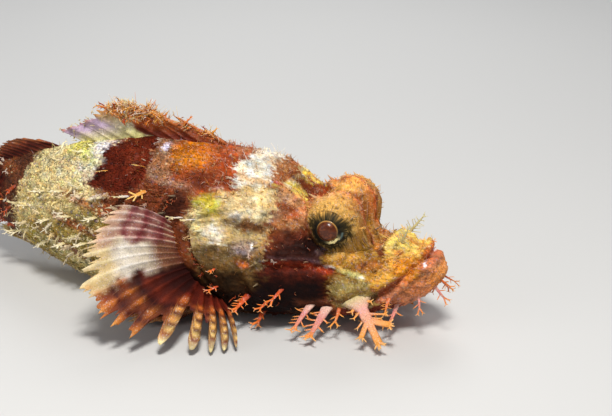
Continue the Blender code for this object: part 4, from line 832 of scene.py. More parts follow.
def build_skin():
    """Where the rows of points lie along the fish, and the points before and after their fine relief."""
    nose = JAW_TIP + NOSE_CAP * (1 - np.cos(np.linspace(0.03, math.pi / 2, NOSE_ROWS)))
    head = np.arange(nose[-1] + HEAD_STEP, HEAD_END, HEAD_STEP)
    trunk = np.linspace(HEAD_END, BODY_LENGTH - TAIL_CAP, TRUNK_ROWS)
    tail = BODY_LENGTH - TAIL_CAP * (1 - np.cos(np.linspace(math.pi / 2, 0.04, TAIL_ROWS)[1:]))
    along = np.concatenate([nose, head, trunk, tail])
    around = np.arange(SIDES) * 2 * math.pi / SIDES
    around = around - SIDE_CROWDING * np.sin(around)
    t, turn = np.meshgrid(along, around, indexing="ij")
    points = plain_body(t, turn)
    normals = grid_normals(points)
    smooth_points = points + normals * broad_rise(points, normals)[..., None]
    normals = grid_normals(smooth_points)
    points = smooth_points + normals * fine_rise(smooth_points, normals)[..., None]
    points = dig_nostrils(open_orbits(points))
    points[..., 1] *= 1 - STALK_THINNING * smoothstep((points[..., 0] - STALK_FROM) / STALK_RUN)
    points[..., 2] = np.maximum(points[..., 2], 0.0)
    return along, smooth_points, points


def outward_normals(points):
    """The normals of the whole skin, pointing outwards. The first quarter of each ring lies above."""
    normals = grid_normals(points)
    return normals * np.sign(normals[:, :SIDES // 4].mean((0, 1)) @ np.array([0, 0.3, 1.0]))


ALONG, SMOOTH_GRID, GRID = build_skin()
RINGS = len(ALONG)
WORLD = bend(GRID)
OUT = outward_normals(WORLD)
SMOOTH_OUT = outward_normals(bend(SMOOTH_GRID))
GRID_U = (ALONG - JAW_TIP) / (BODY_LENGTH - JAW_TIP)
GRID_V = np.arange(SIDES) / SIDES
SPOTS = np.stack(np.meshgrid(GRID_U * UV_SPAN + UV_EDGE, GRID_V * UV_SPAN + UV_EDGE, indexing="ij"), -1)


def eye_paint(radius, angle):
    """The colours round a pupil, which run over the eyelid's edge into the skin."""
    where = np.stack([np.cos(angle) * 9, np.sin(angle) * 9, radius * 0.35], -1)
    streak = noise(where, 0.55, 201) * 0.6 + noise(where, 1.4, 205) * 0.4
    fine = noise(where, 0.28, 207)
    reach = radius + streak * 1.9 + 2.5 * np.maximum(np.sin(angle), 0) ** 1.5 - 0.2
    colour = mix(rgb(14, 12, 7), rgb(40, 34, 16), ramp(reach, 3.8, 1.0)[..., None])
    colour = dye(colour, (104, 80, 38), ramp(reach, 5.4, 1.4))
    colour = dye(colour, (218, 164, 82), ramp(reach, 6.4, 1.6))
    dark_line = ramp(fine, 0.12, 0.35) * fall(radius, 8.6, 2.0)
    dark_line = dark_line * ramp(radius, 3.5, 1)
    colour = dye(colour, (48, 38, 18), dark_line * 0.65)
    light_line = smoothstep((-fine - 0.2) / 0.35) * ramp(radius, 4.2, 1.6)
    light_line = light_line * fall(radius, 9, 1)
    return dye(colour, (186, 150, 84), light_line * 0.6)


def paint_skin():
    colour = paint(GRID)
    radius, angle = eye_distance(GRID)
    behind = smoothstep((0.25 - np.cos(angle)) / 0.4) * smoothstep((0.45 - np.sin(angle)) / 0.6)
    edge = 9.4 - 2.6 * behind + 0.7 * noise(GRID, 1.2, 211)
    halo = smoothstep((edge - radius) / 2.2) * (np.abs(GRID[..., 1]) > 8)
    colour = mix(colour, eye_paint(radius, angle), halo[..., None])
    # Partly the lip line's own reddish colour and partly painted shade in the groove between the jaws: a dark
    # red line along the mouth, faint at the front
    to_mouth = distance_to_line(GRID[..., 0], GRID[..., 2], MOUTH_LINE)
    lip_line_and_shade = bell(to_mouth, 0.40) * smoothstep((21 - GRID[..., 0]) / 3)
    lip_line_and_shade = lip_line_and_shade * mix(0.15, 0.65, smoothstep((GRID[..., 0] - 2) / 8))
    colour = dye(colour, (118, 36, 16), lip_line_and_shade)
    # Painted shade: the nostril pits are painted dark
    for t, y in NOSTRILS:
        gap = np.hypot(GRID[..., 0] - t, np.abs(GRID[..., 1]) - y) + 9 * (GRID[..., 2] < 20)
        colour = dye(colour, (40, 16, 10), bell(gap, 0.55))
    return colour


SKIN_PAINT = paint_skin()


def with_ends(values):
    """The values of a grid of points in one list, and then the mean of its first ring and of its last."""
    return np.concatenate([values.reshape(-1, values.shape[-1]), [values[0].mean(0), values[-1].mean(0)]])


def skin_piece():
    uv = np.concatenate([SPOTS.reshape(-1, 2), [[0.01, 0.5], [0.99, 0.5]]])
    nose = end_fan(RINGS * SIDES, 0, SIDES, flip=True)
    tail = end_fan(RINGS * SIDES + 1, (RINGS - 1) * SIDES, SIDES)
    make_mesh(
        "skin", with_ends(WORLD), [ring_faces(RINGS, SIDES), np.concatenate([nose, tail])],
        with_ends(SKIN_PAINT), uv,
        SKIN_FINISH,
        replaces=("head", "lower_jaw", "gill_cover_left", "gill_cover_right", "trunk", "tail_stalk"),
    )


skin_piece()

# The eyes
PUPIL = 2.95
PUPIL_EDGE, PUPIL_SOFT = PUPIL * 1.1, PUPIL * 0.45
EYE_SIDES, EYE_FRONT_ROWS, EYE_BACK_ROWS = 144, 58, 16
EYE_TURN, EYE_FRONT = 1.2, 1.3
LENS_RISE, IRIS_SINK, GROOVE_DEPTH = 0.35, 0.3, 0.16
# The angles round the pupil of the painted highlight, a pale crescent, and of the blue glint
HIGHLIGHT_AT, GLINT_AT = 1.68 * math.pi, 1.93 * math.pi


def eye_ball_paint(wide, b):
    """The eyeball's colours: iris, pupil and thin golden ring, and painted light: a red-brown reflection in
    the pupil, a brighter top to the ring, a pale crescent highlight and a blue glint.
    """
    colour = eye_paint(wide, b)
    # The thin golden ring round the pupil is its own colour, with a painted highlight that makes it brighter
    # towards its top
    ring = bell(wide - PUPIL, 0.09) * (0.35 + 0.65 * smoothstep(np.sin(b) + 0.3))
    where = np.stack([np.cos(b) * wide, np.sin(b) * wide, wide * 0], -1)
    # Painted reflection: the pupil is painted a mottled red-brown for the light that the back of the eye
    # sends back
    reflection_mottle = noise(where + 40, 1.1, 221) * 0.5 + noise(where + 40, 0.45, 225) * 0.3
    pupil = mix(rgb(92, 40, 15), rgb(48, 17, 7), smoothstep(reflection_mottle + 0.4)[..., None])
    pupil = dye(pupil, (134, 64, 24), ramp(reflection_mottle, 0.1, 0.4) * 0.6)
    colour = mix(colour, pupil, smoothstep((PUPIL - wide) / 0.2 + 0.5)[..., None])
    colour = dye(colour, (214, 158, 78), ring * 0.8)
    # Painted highlight: a pale gold crescent below and ahead of the pupil, brighter than white
    off_crescent_highlight = np.abs(wide - 3.6 - 0.25 * noise(where, 0.5, 227))
    crescent_highlight = bell(b - HIGHLIGHT_AT, 0.40) * fall(off_crescent_highlight, 0.55, 0.3)
    colour = mix(colour, rgb(255, 238, 170) * 1.1, np.clip(crescent_highlight * 1.8, 0, 1)[..., None])
    glint = bell(b - GLINT_AT, 0.35) * bell(wide - 4.2, 0.22)
    return dye(colour, (150, 180, 176), glint * 0.4)


def eye_piece(word, side):
    """An eyeball in rings round its axis, from the middle of its pupil to its back."""
    front_rows = np.linspace(0.0, EYE_TURN, EYE_FRONT_ROWS)[1:]
    lean = np.concatenate([front_rows, np.linspace(EYE_TURN, math.pi, EYE_BACK_ROWS)[1:]])
    count, sides = len(lean), EYE_SIDES
    a, b = np.meshgrid(lean, np.arange(sides) * 2 * math.pi / sides, indexing="ij")
    wide = EYE_RADIUS * np.sin(a)
    front = a < EYE_FRONT
    in_pupil = smoothstep((PUPIL_EDGE - wide) / PUPIL_SOFT)
    lens = LENS_RISE * in_pupil * front
    groove = GROOVE_DEPTH * bell(wide - PUPIL * 1.05, 0.22) * front
    iris = IRIS_SINK * fall(wide, 5.8, 1.0) * (1 - in_pupil) * front
    out = EYE_RADIUS * np.cos(a) + lens - iris - groove
    fish = np.stack([EYE_AT[0] - wide * np.cos(b), side * (EYE_AT[1] + out), EYE_AT[2] + wide * np.sin(b)],
                    -1)
    ends = (EYE_AT[1] + EYE_RADIUS + LENS_RISE, EYE_AT[1] - EYE_RADIUS)
    poles = [(EYE_AT[0], side * end, EYE_AT[2]) for end in ends]
    points = bend(np.concatenate([fish.reshape(-1, 3), poles]))
    flat = np.stack([0.5 + a / math.pi * 0.48 * np.cos(b), 0.5 + a / math.pi * 0.48 * np.sin(b)], -1)
    uv = np.concatenate([flat.reshape(-1, 2), [[0.5, 0.5], [0.98, 0.5]]])
    back = end_fan(count * sides + 1, (count - 1) * sides, sides, flip=True)
    caps = np.concatenate([end_fan(count * sides, 0, sides), back])
    quads = ring_faces(count, sides)[:, ::-1]
    if side > 0:
        quads, caps = quads[:, ::-1], caps[:, ::-1]
    obj = make_mesh("eye_ball_" + word, points, [quads, caps], with_ends(eye_ball_paint(wide, b)), uv,
                    EYE_FINISH, replaces=("eye_" + word,))
    obj.data.materials.append(PUPIL_FINISH)
    span = np.append((wide * front + 9 * ~front).ravel(), [0.0, 9.0])
    inner = np.array([max(span[v] for v in face.vertices) < PUPIL_EDGE for face in obj.data.polygons])
    obj.data.polygons.foreach_set("material_index", inner.astype(np.int32))


for word, side in (("left", 1), ("right", -1)):
    eye_piece(word, side)


# Strands: spines, threads, flaps and tassels
PATCH, PATCH_END = 0.003, 0.0016
LOWEST_STRAND = 0.0002


class Strands:
    """A bundle of tapering, flattened strands that become one mesh."""

    def __init__(self):
        self.rows = []

    def add(self, root, along, curl, across, length, widths, thicks, colours, spot):
        """Root and ways are in the model's frame, and measures in metres; lists run from root to tip."""
        self.rows.append((root, along, curl, across, length, widths, thicks, colours, spot))

    def build(self, name, finish, steps=6, sides=6):
        count = len(self.rows)
        roots, ways, curls, sideways, lengths, widths, thicks, colours, spots = zip(*self.rows)
        root, along, curl, across = (np.array(v)[:, None] for v in (roots, ways, curls, sideways))
        length = np.array(lengths)[:, None, None]
        spot = np.array(spots)
        s = np.linspace(0, 1, steps)
        knots = np.linspace(0, 1, 3)
        line = root + (along * s[None, :, None] + curl * (s**2)[None, :, None]) * length
        tangent = along + 2 * curl * s[None, :, None]
        tangent /= np.linalg.norm(tangent, axis=-1, keepdims=True)
        side = across - tangent * (tangent * across).sum(-1, keepdims=True)
        side /= np.maximum(np.linalg.norm(side, axis=-1, keepdims=True), 1e-9)
        flat = np.cross(tangent, side)
        width = np.array([np.interp(s, knots, v) for v in widths])[..., None, None]
        thick = np.array([np.interp(s, knots, v) for v in thicks])[..., None, None]
        turn = np.arange(sides) * 2 * math.pi / sides
        aside = side[:, :, None] * np.cos(turn)[:, None] * width
        rings = line[:, :, None] + (aside + flat[:, :, None] * np.sin(turn)[:, None] * thick)
        tips = line[:, -1] + tangent[:, -1] * thick[:, -1, 0]
        points = np.concatenate([rings.reshape(-1, 3), tips, line[:, 0]])
        points[:, 2] = np.maximum(points[:, 2], LOWEST_STRAND)
        shade = np.array([[np.interp(s, knots, part) for part in np.array(v).T] for v in colours])
        shade = shade.transpose(0, 2, 1)
        on_rings = np.broadcast_to(shade[:, :, None], rings.shape).reshape(-1, 3)
        u = spot[:, None, None, 0] + PATCH / 2 * np.cos(turn)[None, None, :]
        v = spot[:, None, None, 1] + PATCH * (s[None, :, None] - 0.5)
        patches = np.stack(np.broadcast_arrays(u, v), -1).reshape(-1, 2)
        end = np.array([0.0, PATCH_END])
        first = (np.arange(count) * steps * sides)[:, None]
        last = first + (steps - 1) * sides
        tip_at = np.broadcast_to((count * steps * sides + np.arange(count))[:, None], (count, sides))
        j = np.arange(sides)
        k = (j + 1) % sides
        quads = (ring_faces(steps, sides)[None] + first[..., None]).reshape(-1, 4)
        caps = np.stack([last + j, last + k, tip_at], -1).reshape(-1, 3)
        feet = np.stack([first + k, first + j, tip_at + count], -1).reshape(-1, 3)
        return make_mesh(name, points, [quads, caps, feet],
                         np.concatenate([on_rings, shade[:, -1], shade[:, 0]]),
                         np.concatenate([patches, spot + end, spot - end]), finish)


rng = np.random.default_rng(7)
WHITE, CREAM = rgb(248, 240, 226), rgb(232, 214, 158)
ORANGE, AMBER, RUST = rgb(232, 130, 44), rgb(244, 178, 74), rgb(170, 74, 36)
PALE_TINTS = (CREAM, AMBER, WHITE, ORANGE)
THREADS, FRILLS, HEAD_FRILLS = 5200, 460, 430


def unit(v):
    v = np.asarray(v, float)
    return v / np.maximum(np.linalg.norm(v, axis=-1, keepdims=True), 1e-12)


def taper(size, *shares):
    return tuple(size * share for share in shares)


def shades(base, share, tip):
    """The colours of a strand: its base's, its tip's, and a share of the tip's in between."""
    return base, mix(base, tip, share), tip


def scattered(count, weight):
    """Grid places drawn in proportion to a weight on each point of the skin."""
    du = np.gradient(WORLD, axis=0)
    dv = (np.roll(WORLD, -1, axis=1) - np.roll(WORLD, 1, axis=1)) / 2
    area = np.linalg.norm(np.cross(du, dv), axis=-1)
    share = (area * weight).ravel()
    picked = rng.choice(share.size, count, replace=False, p=share / share.sum())
    return zip(*np.unravel_index(picked, weight.shape))


def back_tangent(i, j):
    """The way backwards along the skin, in the model's frame."""
    ahead, behind = WORLD[max(i - 3, 0), j], WORLD[min(i + 3, RINGS - 1), j]
    return unit(behind - ahead)


def leaning(i, j, outwards, backwards, loose):
    """A way out of the skin and backwards, as much of each as is drawn from its range, and a little aside."""
    lean = SMOOTH_OUT[i, j] * rng.uniform(*outwards) + back_tangent(i, j) * rng.uniform(*backwards)
    return unit(lean + rng.normal(0, loose, 3))


def outside_orbit():
    radius = eye_distance(GRID)[0]
    return (radius > 6.6) | (np.abs(GRID[..., 1]) < 8)


def crown_share():
    """How far each spot of the skin belongs to the top of the brow, where threads and flaps stay short."""
    return np.exp(-(((GRID[..., 0] - 30) / 10) ** 4)) * smoothstep((SMOOTH_OUT[..., 2] - 0.3) / 0.4)


def build_threads():
    """Fine threads of skin all over the head and back, most on ridges and along the outline."""
    t, y, z = GRID[..., 0], np.abs(GRID[..., 1]), GRID[..., 2]
    up = SMOOTH_OUT[..., 2]
    ridge = bell(y - 9, 2.2) * ramp(up, 0.2, 0.4)
    ridge = ridge * ramp(t, 22, 4) * fall(t, 50, 8)
    weight = 0.2 + 0.9 * ramp(up, 0.2, 0.5) * fall(t, 100, 30) + 1.6 * ridge
    weight += 0.8 * bell(eye_distance(GRID)[0] - 9, 1.6) * (z > 33)
    weight += 0.7 * ramp(t, 92, 10) * fall(z, 26, 8) * fall(t, 134, 6)
    weight *= outside_orbit() * (z > 2) * smoothstep((t + 4) / 5)
    dark = SKIN_PAINT.mean(-1) < 0.04
    weight = np.where(dark, weight * 0.25, weight)
    crown = crown_share()
    bundle = Strands()
    for i, j in scattered(THREADS, weight):
        out = SMOOTH_OUT[i, j]
        lean = leaning(i, j, (0.5, 1.1), (-0.2, 1.0), 0.35)
        long = rng.random() < 0.18 and up[i, j] > 0.4
        length = rng.uniform(0.5, 1.3) * MM * (2.0 if long else 1.0) * (1 - 0.5 * crown[i, j])
        wide = rng.uniform(0.07, 0.16) * MM
        base = SKIN_PAINT[i, j]
        tip = mix(base * 1.5, PALE_TINTS[rng.integers(4)], rng.uniform(0.1, 0.45))
        if dark[i, j]:
            tip = mix(base * 2, rgb(176, 70, 34), rng.uniform(0.2, 0.8))
        curl = rng.normal(0, 0.35, 3) + np.array([0, 0, 0.1])
        bundle.add(WORLD[i, j] - out * 0.3 * MM, lean, curl, np.cross(out, lean) + 1e-6, length,
                   taper(wide, 1, 0.8, 0.25), taper(wide, 1, 0.7, 0.2), shades(base, 0.6, tip), SPOTS[i, j])
    return bundle.build("skin_threads", FLAP_FINISH, 5, 3)


# The thinnest limbs, in metres, and the angle that the teeth on a limb's end span
THINNEST, THINNEST_FLAT = 0.00007, 0.00006
TOOTH_SPREAD = 1.7

# Forms of flap: share of the length in the stem, root's and end's half width, side limbs and end limbs.
# A side limb has its place on the stem, its hand, length, half width and teeth; an end limb an angle first.
FORMS = {
    "palm": (
        0.50, 2.9, 0.95,
        ((0.66, -1, 0.38, 0.26, 2), (0.48, 1, 0.30, 0.24, 2), (0.84, 1, 0.26, 0.22, 2),
         (0.16, 1, 0.28, 0.36, 2),
         (0.10, -1, 0.24, 0.30, 2), (0.30, 1, 0.20, 0.22, 1), (0.88, -1, 0.26, 0.24, 2)),
        ((-0.80, 0.48, 0.64, 5), (0.05, 0.54, 0.74, 5), (0.70, 0.42, 0.54, 4)),
    ),
    "ladder": (
        0.80, 1.5, 0.60,
        ((0.22, 1, 0.26, 0.26, 1), (0.38, 1, 0.30, 0.28, 1), (0.54, 1, 0.30, 0.28, 1),
         (0.70, 1, 0.26, 0.26, 1),
         (0.86, 1, 0.22, 0.26, 1), (0.42, -1, 0.26, 0.28, 2), (0.74, -1, 0.24, 0.26, 1)),
        ((-0.3, 0.22, 0.55, 2), (0.35, 0.24, 0.55, 2)),
    ),
    "comb": (
        0.88, 1.2, 0.45,
        tuple((0.2 + 0.07 * k, 1 - 2 * (k % 2), 0.34 - 0.02 * k, 0.34, 2) for k in range(10)),
        ((-0.4, 0.12, 0.5, 1), (0.2, 0.16, 0.5, 1)),
    ),
    "twig": (
        0.66, 1.3, 0.70, ((0.45, -1, 0.30, 0.42, 1), (0.68, 1, 0.30, 0.42, 1)),
        ((-0.5, 0.30, 0.60, 2), (0.4, 0.36, 0.62, 2)),
    ),
    "blade": (
        0.55, 1.0, 1.05, ((0.45, 1, 0.26, 0.34, 0), (0.60, -1, 0.26, 0.34, 0)),
        ((-0.62, 0.36, 0.42, 0), (0.0, 0.48, 0.44, 1), (0.62, 0.38, 0.42, 0)),
    ),
}


def limb(bundle, root, way, across, normal, length, halves, colours, spot, teeth=0, loose=0.15):
    """One flat limb, with short blunt teeth round its end. Gives back its end and its way there."""
    curl = normal * rng.normal(0, loose) + across * rng.normal(0, loose * 0.8)
    halves = np.maximum(halves, THINNEST)
    bundle.add(root, way, curl, across, length, halves, np.maximum(halves * 0.32, THINNEST_FLAT), colours,
               spot)
    end = root + (way + curl) * length
    ahead = unit(way + 2 * curl)
    beside = unit(across - ahead * (across @ ahead))
    tip = colours[2]
    for n in range(teeth):
        angle = (n - (teeth - 1) / 2) * (TOOTH_SPREAD / max(teeth - 1, 1)) + rng.normal(0, 0.12)
        twig = unit(ahead * math.cos(angle) + beside * math.sin(angle) + normal * rng.normal(0, 0.1))
        half = max(halves[2] * (0.55 if teeth < 3 else 0.30), THINNEST)
        size = half * rng.uniform(5.0, 8.0)
        start = end + beside * math.sin(angle) * halves[2] * 0.7 - twig * size * 0.25
        bundle.add(start, twig, normal * rng.normal(0, 0.12), np.cross(twig, normal), size,
                   taper(half, 1, 0.85, 0.5), taper(half, 0.6, 0.55, 0.35),
                   (tip, mix(tip, CREAM, 0.2), mix(tip, CREAM, 0.45)), spot)
    return end, ahead, beside


def flap(bundle, root, along, across, normal, length, half, form, colours, spot, loose=0.12):
    """A branched flap of skin of one of the forms."""
    share, flare, end_share, sides, ends = FORMS[form]
    base, middle, tip = colours
    late, near_tip = mix(middle, tip, 0.35), mix(middle, tip, 0.7)
    halves = np.array([flare, 1.0, end_share]) * half
    end, ahead, beside = limb(bundle, root, along, across, normal, length * share, halves,
                              (base, middle, late), spot,
                              0, loose)
    for s, hand, reach, wide, teeth in sides:
        start = mix(root, end, s)
        aside, onwards = across * hand * rng.uniform(0.8, 1.1), along * rng.uniform(0.35, 0.75)
        way = unit(aside + onwards + normal * rng.normal(0, 0.15))
        halves = np.array([1.0, 0.85, 0.75]) * half * wide
        limb(bundle, start, way, np.cross(way, normal), normal, length * reach * rng.uniform(0.8, 1.15),
             halves,
             (middle, near_tip, tip), spot, teeth, loose)
    for angle, reach, wide, teeth in ends:
        turn = angle + rng.normal(0, 0.08)
        way = unit(ahead * math.cos(turn) + beside * math.sin(turn))
        halves = np.array([1.0, 0.9, 0.95]) * half * wide
        limb(bundle, end - way * half * 0.5, way, np.cross(way, normal), normal,
             length * reach * rng.uniform(0.9, 1.1), halves, (late, near_tip, tip), spot, teeth, loose)


def nearest_on_skin(t, side, z=None, y=None):
    """The grid place at one t, at a height on the side or a distance from the midline on top."""
    i = int(np.argmin(np.abs(ALONG - t)))
    ring = SMOOTH_GRID[i]
    if z is not None:
        miss = np.abs(ring[:, 2] - z) + 100.0 * (ring[:, 1] * side < 0)
    else:
        miss = np.abs(ring[:, 1] - side * y) + 100.0 * (ring[:, 2] < WIDEST(t))
    return i, int(np.argmin(miss))


# The larger tassels, one side: t, "z" or "y" place, length, half width, form, direction, kind.
TASSELS = (
    (16.8, "z", 11.2, 16.5, 1.65, "palm", (-0.60, 0.64, -0.50), "maxilla"),
    (29.4, "z", 8.4, 11.0, 0.85, "ladder", (0.30, 0.80, -0.46), "pink"),
    (25.2, "z", 8.2, 12.0, 1.15, "ladder", (0.16, 0.78, -0.50), "pink"),
    (21.8, "z", 8.2, 7.0, 0.5, "twig", (-0.1, 0.7, -0.7), "orange"),
    (37.0, "z", 13.6, 7.0, 0.55, "twig", (0.35, 0.8, -0.5), "red"),
    (41.0, "z", 9.5, 5.0, 0.5, "twig", (0.3, 0.8, -0.5), "red"),
    (47.0, "z", 10.5, 7.0, 0.8, "ladder", (0.3, 0.8, -0.55), "red"),
    (43.5, "z", 5.0, 6.4, 0.7, "twig", (0.2, 0.7, -0.6), "red"),
    (8.2, "y", 4.6, 7.8, 0.40, "comb", (-0.60, 0.1, 0.78), "frond"),
    (1.6, "y", 2.6, 2.8, 0.22, "twig", (-0.8, 0.3, 0.35), "orange"),
    (3.2, "y", 4.0, 2.4, 0.22, "twig", (-0.6, 0.3, 0.6), "orange"),
    (27.5, "y", 9.0, 1.7, 0.26, "twig", (0.6, 0.3, 0.7), "skin"),
    (22.5, "y", 8.6, 1.7, 0.26, "twig", (0.4, 0.3, 0.8), "skin"),
    (33.5, "y", 9.6, 3.6, 0.5, "blade", (0.3, 0.2, 0.9), "skin"),
    (38.5, "y", 9.4, 3.4, 0.5, "blade", (0.4, 0.2, 0.8), "skin"),
    (12.5, "z", 7.0, 6.4, 0.5, "twig", (0.1, 0.75, -0.6), "orange"),
    (8.6, "z", 12.6, 5.4, 0.5, "ladder", (0.1, 0.8, -0.55), "orange"),
    (6.8, "z", 9.0, 9.0, 0.6, "twig", (0.0, 0.6, -0.8), "pink"),
    (1.0, "z", 11.8, 6.0, 0.4, "twig", (-0.3, 0.5, -0.8), "pink"),
    (-2.8, "z", 14.2, 6.6, 0.4, "twig", (-0.62, 0.3, -0.72), "pink"),
    (-4.2, "z", 15.8, 5.4, 0.3, "twig", (-0.9, 0.1, -0.5), "orange"),
    (63.4, "z", 30.6, 4.6, 0.5, "twig", (0.8, 0.6, 0.1), "white"),
    (68.0, "z", 30.4, 5.0, 0.5, "twig", (0.7, 0.7, 0.0), "white"),
    (56.0, "z", 18.0, 3.4, 0.4, "twig", (0.5, 0.85, -0.2), "red"),
    (55.5, "z", 12.4, 4.2, 0.5, "twig", (0.5, 0.8, -0.3), "red"),
    (80.0, "z", 36.0, 7.0, 0.7, "blade", (0.75, 0.5, -0.35), "amber"),
    (83.0, "z", 41.0, 4.4, 0.4, "twig", (0.5, 0.7, 0.3), "amber"),
    (94.0, "z", 38.6, 3.6, 0.4, "twig", (0.5, 0.8, 0.2), "amber"),
    (86.0, "z", 33.2, 5.4, 0.8, "blade", (0.6, 0.8, 0.0), "white"),
    (93.0, "z", 31.6, 5.4, 0.9, "blade", (0.6, 0.8, 0.1), "cream"),
    (101.0, "z", 32.0, 5.6, 0.9, "blade", (0.6, 0.8, 0.2), "cream"),
    (107.4, "z", 30.0, 5.2, 0.9, "blade", (0.6, 0.8, 0.1), "cream"),
    (114.0, "z", 28.4, 5.0, 0.8, "blade", (0.6, 0.8, 0.0), "cream"),
    (95.0, "z", 25.5, 5.0, 0.8, "blade", (0.6, 0.8, -0.1), "cream"),
    (104.0, "z", 23.5, 5.0, 0.8, "blade", (0.6, 0.8, -0.1), "cream"),
    (112.0, "z", 20.5, 4.8, 0.8, "blade", (0.6, 0.8, -0.1), "cream"),
    (98.0, "z", 17.0, 5.0, 0.8, "blade", (0.6, 0.8, -0.2), "cream"),
    (106.0, "z", 14.5, 5.0, 0.8, "blade", (0.6, 0.8, -0.2), "cream"),
    (114.0, "z", 12.0, 5.0, 0.8, "blade", (0.6, 0.8, -0.2), "cream"),
    (121.0, "z", 22.0, 4.4, 0.7, "blade", (0.7, 0.7, 0.0), "cream"),
    (124.0, "z", 13.0, 5.6, 0.5, "twig", (0.8, 0.6, -0.3), "cream"),
    (128.5, "z", 11.0, 5.6, 0.5, "twig", (0.8, 0.6, -0.3), "cream"),
    (133.0, "z", 20.0, 4.4, 0.5, "twig", (0.7, 0.7, 0.1), "amber"),
    (143.0, "z", 20.6, 3.6, 0.5, "twig", (0.7, 0.7, 0.0), "red"),
)
KINDS = {
    "pink": (rgb(232, 196, 176), rgb(212, 134, 126), rgb(230, 140, 56)),
    "orange": (rgb(196, 100, 56), rgb(214, 112, 60), rgb(236, 158, 70)),
    "red": (rgb(130, 40, 22), rgb(206, 82, 36), rgb(236, 128, 52)),
    "maxilla": (rgb(204, 188, 136), rgb(224, 162, 148), rgb(234, 156, 70)),
    "frond": (rgb(166, 140, 84), rgb(190, 176, 122), rgb(214, 206, 160)),
    "white": (rgb(200, 190, 190), rgb(226, 216, 206), CREAM),
    "cream": (rgb(176, 152, 96), rgb(220, 204, 150), rgb(240, 230, 200)),
    "amber": (rgb(170, 96, 44), rgb(226, 150, 62), rgb(244, 200, 116)),
}


def build_tassels():
    """The larger tassels of both sides."""
    bundle = Strands()
    for side in (-1, 1):
        for t, view, place, length, half, form, direction, kind in TASSELS:
            i, j = nearest_on_skin(t, side, **{view: place})
            back, outwards, up = direction
            along = unit(turned(np.array([back, outwards * side, up]), t))
            tailwards = turned(np.array([1.0, 0.0, 0.0]), t)
            across = unit(tailwards - along * (tailwards @ along))
            normal = unit(np.cross(along, across))
            normal *= 1 if normal[2] > 0 else -1
            scale = rng.uniform(0.95, 1.05) * MM
            base = SKIN_PAINT[i, j]
            own = (base, mix(base, CREAM, 0.15), mix(base, AMBER, 0.4))
            flap(bundle, WORLD[i, j] - SMOOTH_OUT[i, j] * 0.6 * MM, along, across, normal, length * scale,
                 half * MM,
                 form, KINDS.get(kind, own), SPOTS[i, j], loose=0.04 if form == "palm" else 0.12)
    return bundle.build("skin_tassels", FLAP_FINISH, 7, 8)


def small_flap(bundle, i, j, along, length, half, form, tip, share, sunk, loose, nudge=0.0):
    """A small flap on one point of the skin, in the skin's colour at its base."""
    out = SMOOTH_OUT[i, j]
    across = unit(np.cross(out, along) + nudge)
    flap(bundle, WORLD[i, j] - out * sunk * MM, along, across, unit(np.cross(along, across)), length, half,
         form,
         shades(SKIN_PAINT[i, j], share, tip), SPOTS[i, j], loose=loose)


def blade_or_twig(blades):
    """One of the two small forms, with the share of blades."""
    return "blade" if rng.random() < blades else "twig"


def add_gill_fringe(bundle):
    """Short flaps in a row on the rear edge of each gill cover."""
    for side in (-1, 1):
        for z in np.arange(9.0, 36.0, 0.8):
            t = float(gill_edge_at(z)) - rng.uniform(0.2, 1.0)
            i, j = nearest_on_skin(t, side, z=z)
            out, back = SMOOTH_OUT[i, j], back_tangent(i, j)
            along = unit(back + out * rng.uniform(0.1, 0.5) + rng.normal(0, 0.25, 3))
            tip = rgb(206, 90, 44) if z < 22 else mix(CREAM, rgb(206, 150, 110), rng.random())
            length = rng.uniform(1.2, 2.6) * MM
            form = "twig" if rng.random() < 0.6 else "blade"
            small_flap(bundle, i, j, along, length, length * 0.12, form, tip, share=0.6, sunk=0.3,
                       loose=0.4)


def build_frills():
    """Small branched flaps over the flanks, back and cheeks."""
    t, z = GRID[..., 0], GRID[..., 2]
    weight = np.zeros(t.shape)
    for drop in (0.0, 6.5, 12.5, 18.0):
        row = np.interp(t, [66, 100, 150],
                        [34, 31, 20]) - drop * np.interp(t, [66, 110, 150], [1.0, 0.9, 0.3])
        share = 1.0 if drop == 0 else ramp(t, 86, 8)
        weight = weight + bell(z - row, 1.3) * share
    weight = weight * ramp(t, 66, 8) + 0.06
    weight += 0.3 * ramp(t, 92, 6) * ramp(z, 36, 4)
    weight += 0.20 * fall(t, 60, 6) * ramp(z, 30, 6)
    weight *= outside_orbit() * (z > 4) * fall(t, 150, 10)
    bundle = Strands()
    for i, j in scattered(FRILLS, weight):
        out, back = SMOOTH_OUT[i, j], back_tangent(i, j)
        rear = GRID[i, j, 0] > 86
        lean = back * rng.uniform(0.6, 1.1) + out * rng.uniform(0.2, 0.7)
        along = unit(lean + rng.normal(0, 0.25, 3) + np.array([0, 0, -0.2]))
        base = SKIN_PAINT[i, j]
        tip = mix(base * 1.6, mix(CREAM, WHITE, rng.random()),
                  rng.uniform(0.4, 0.9) * (1.0 if rear else 0.4))
        if base.mean() < 0.06:
            tip = mix(base * 2, rgb(196, 84, 40), rng.uniform(0.3, 0.9))
        length = (rng.uniform(1.6, 4.2) if rear else rng.uniform(1.0, 2.4)) * MM
        form = blade_or_twig(0.6)
        half = length * (rng.uniform(0.13, 0.2) if form == "blade" else rng.uniform(0.07, 0.11))
        small_flap(bundle, i, j, along, length, half, form, tip, share=0.7, sunk=0.4, loose=0.45)
    add_gill_fringe(bundle)
    return bundle.build("skin_frills", FLAP_FINISH, 4, 5)


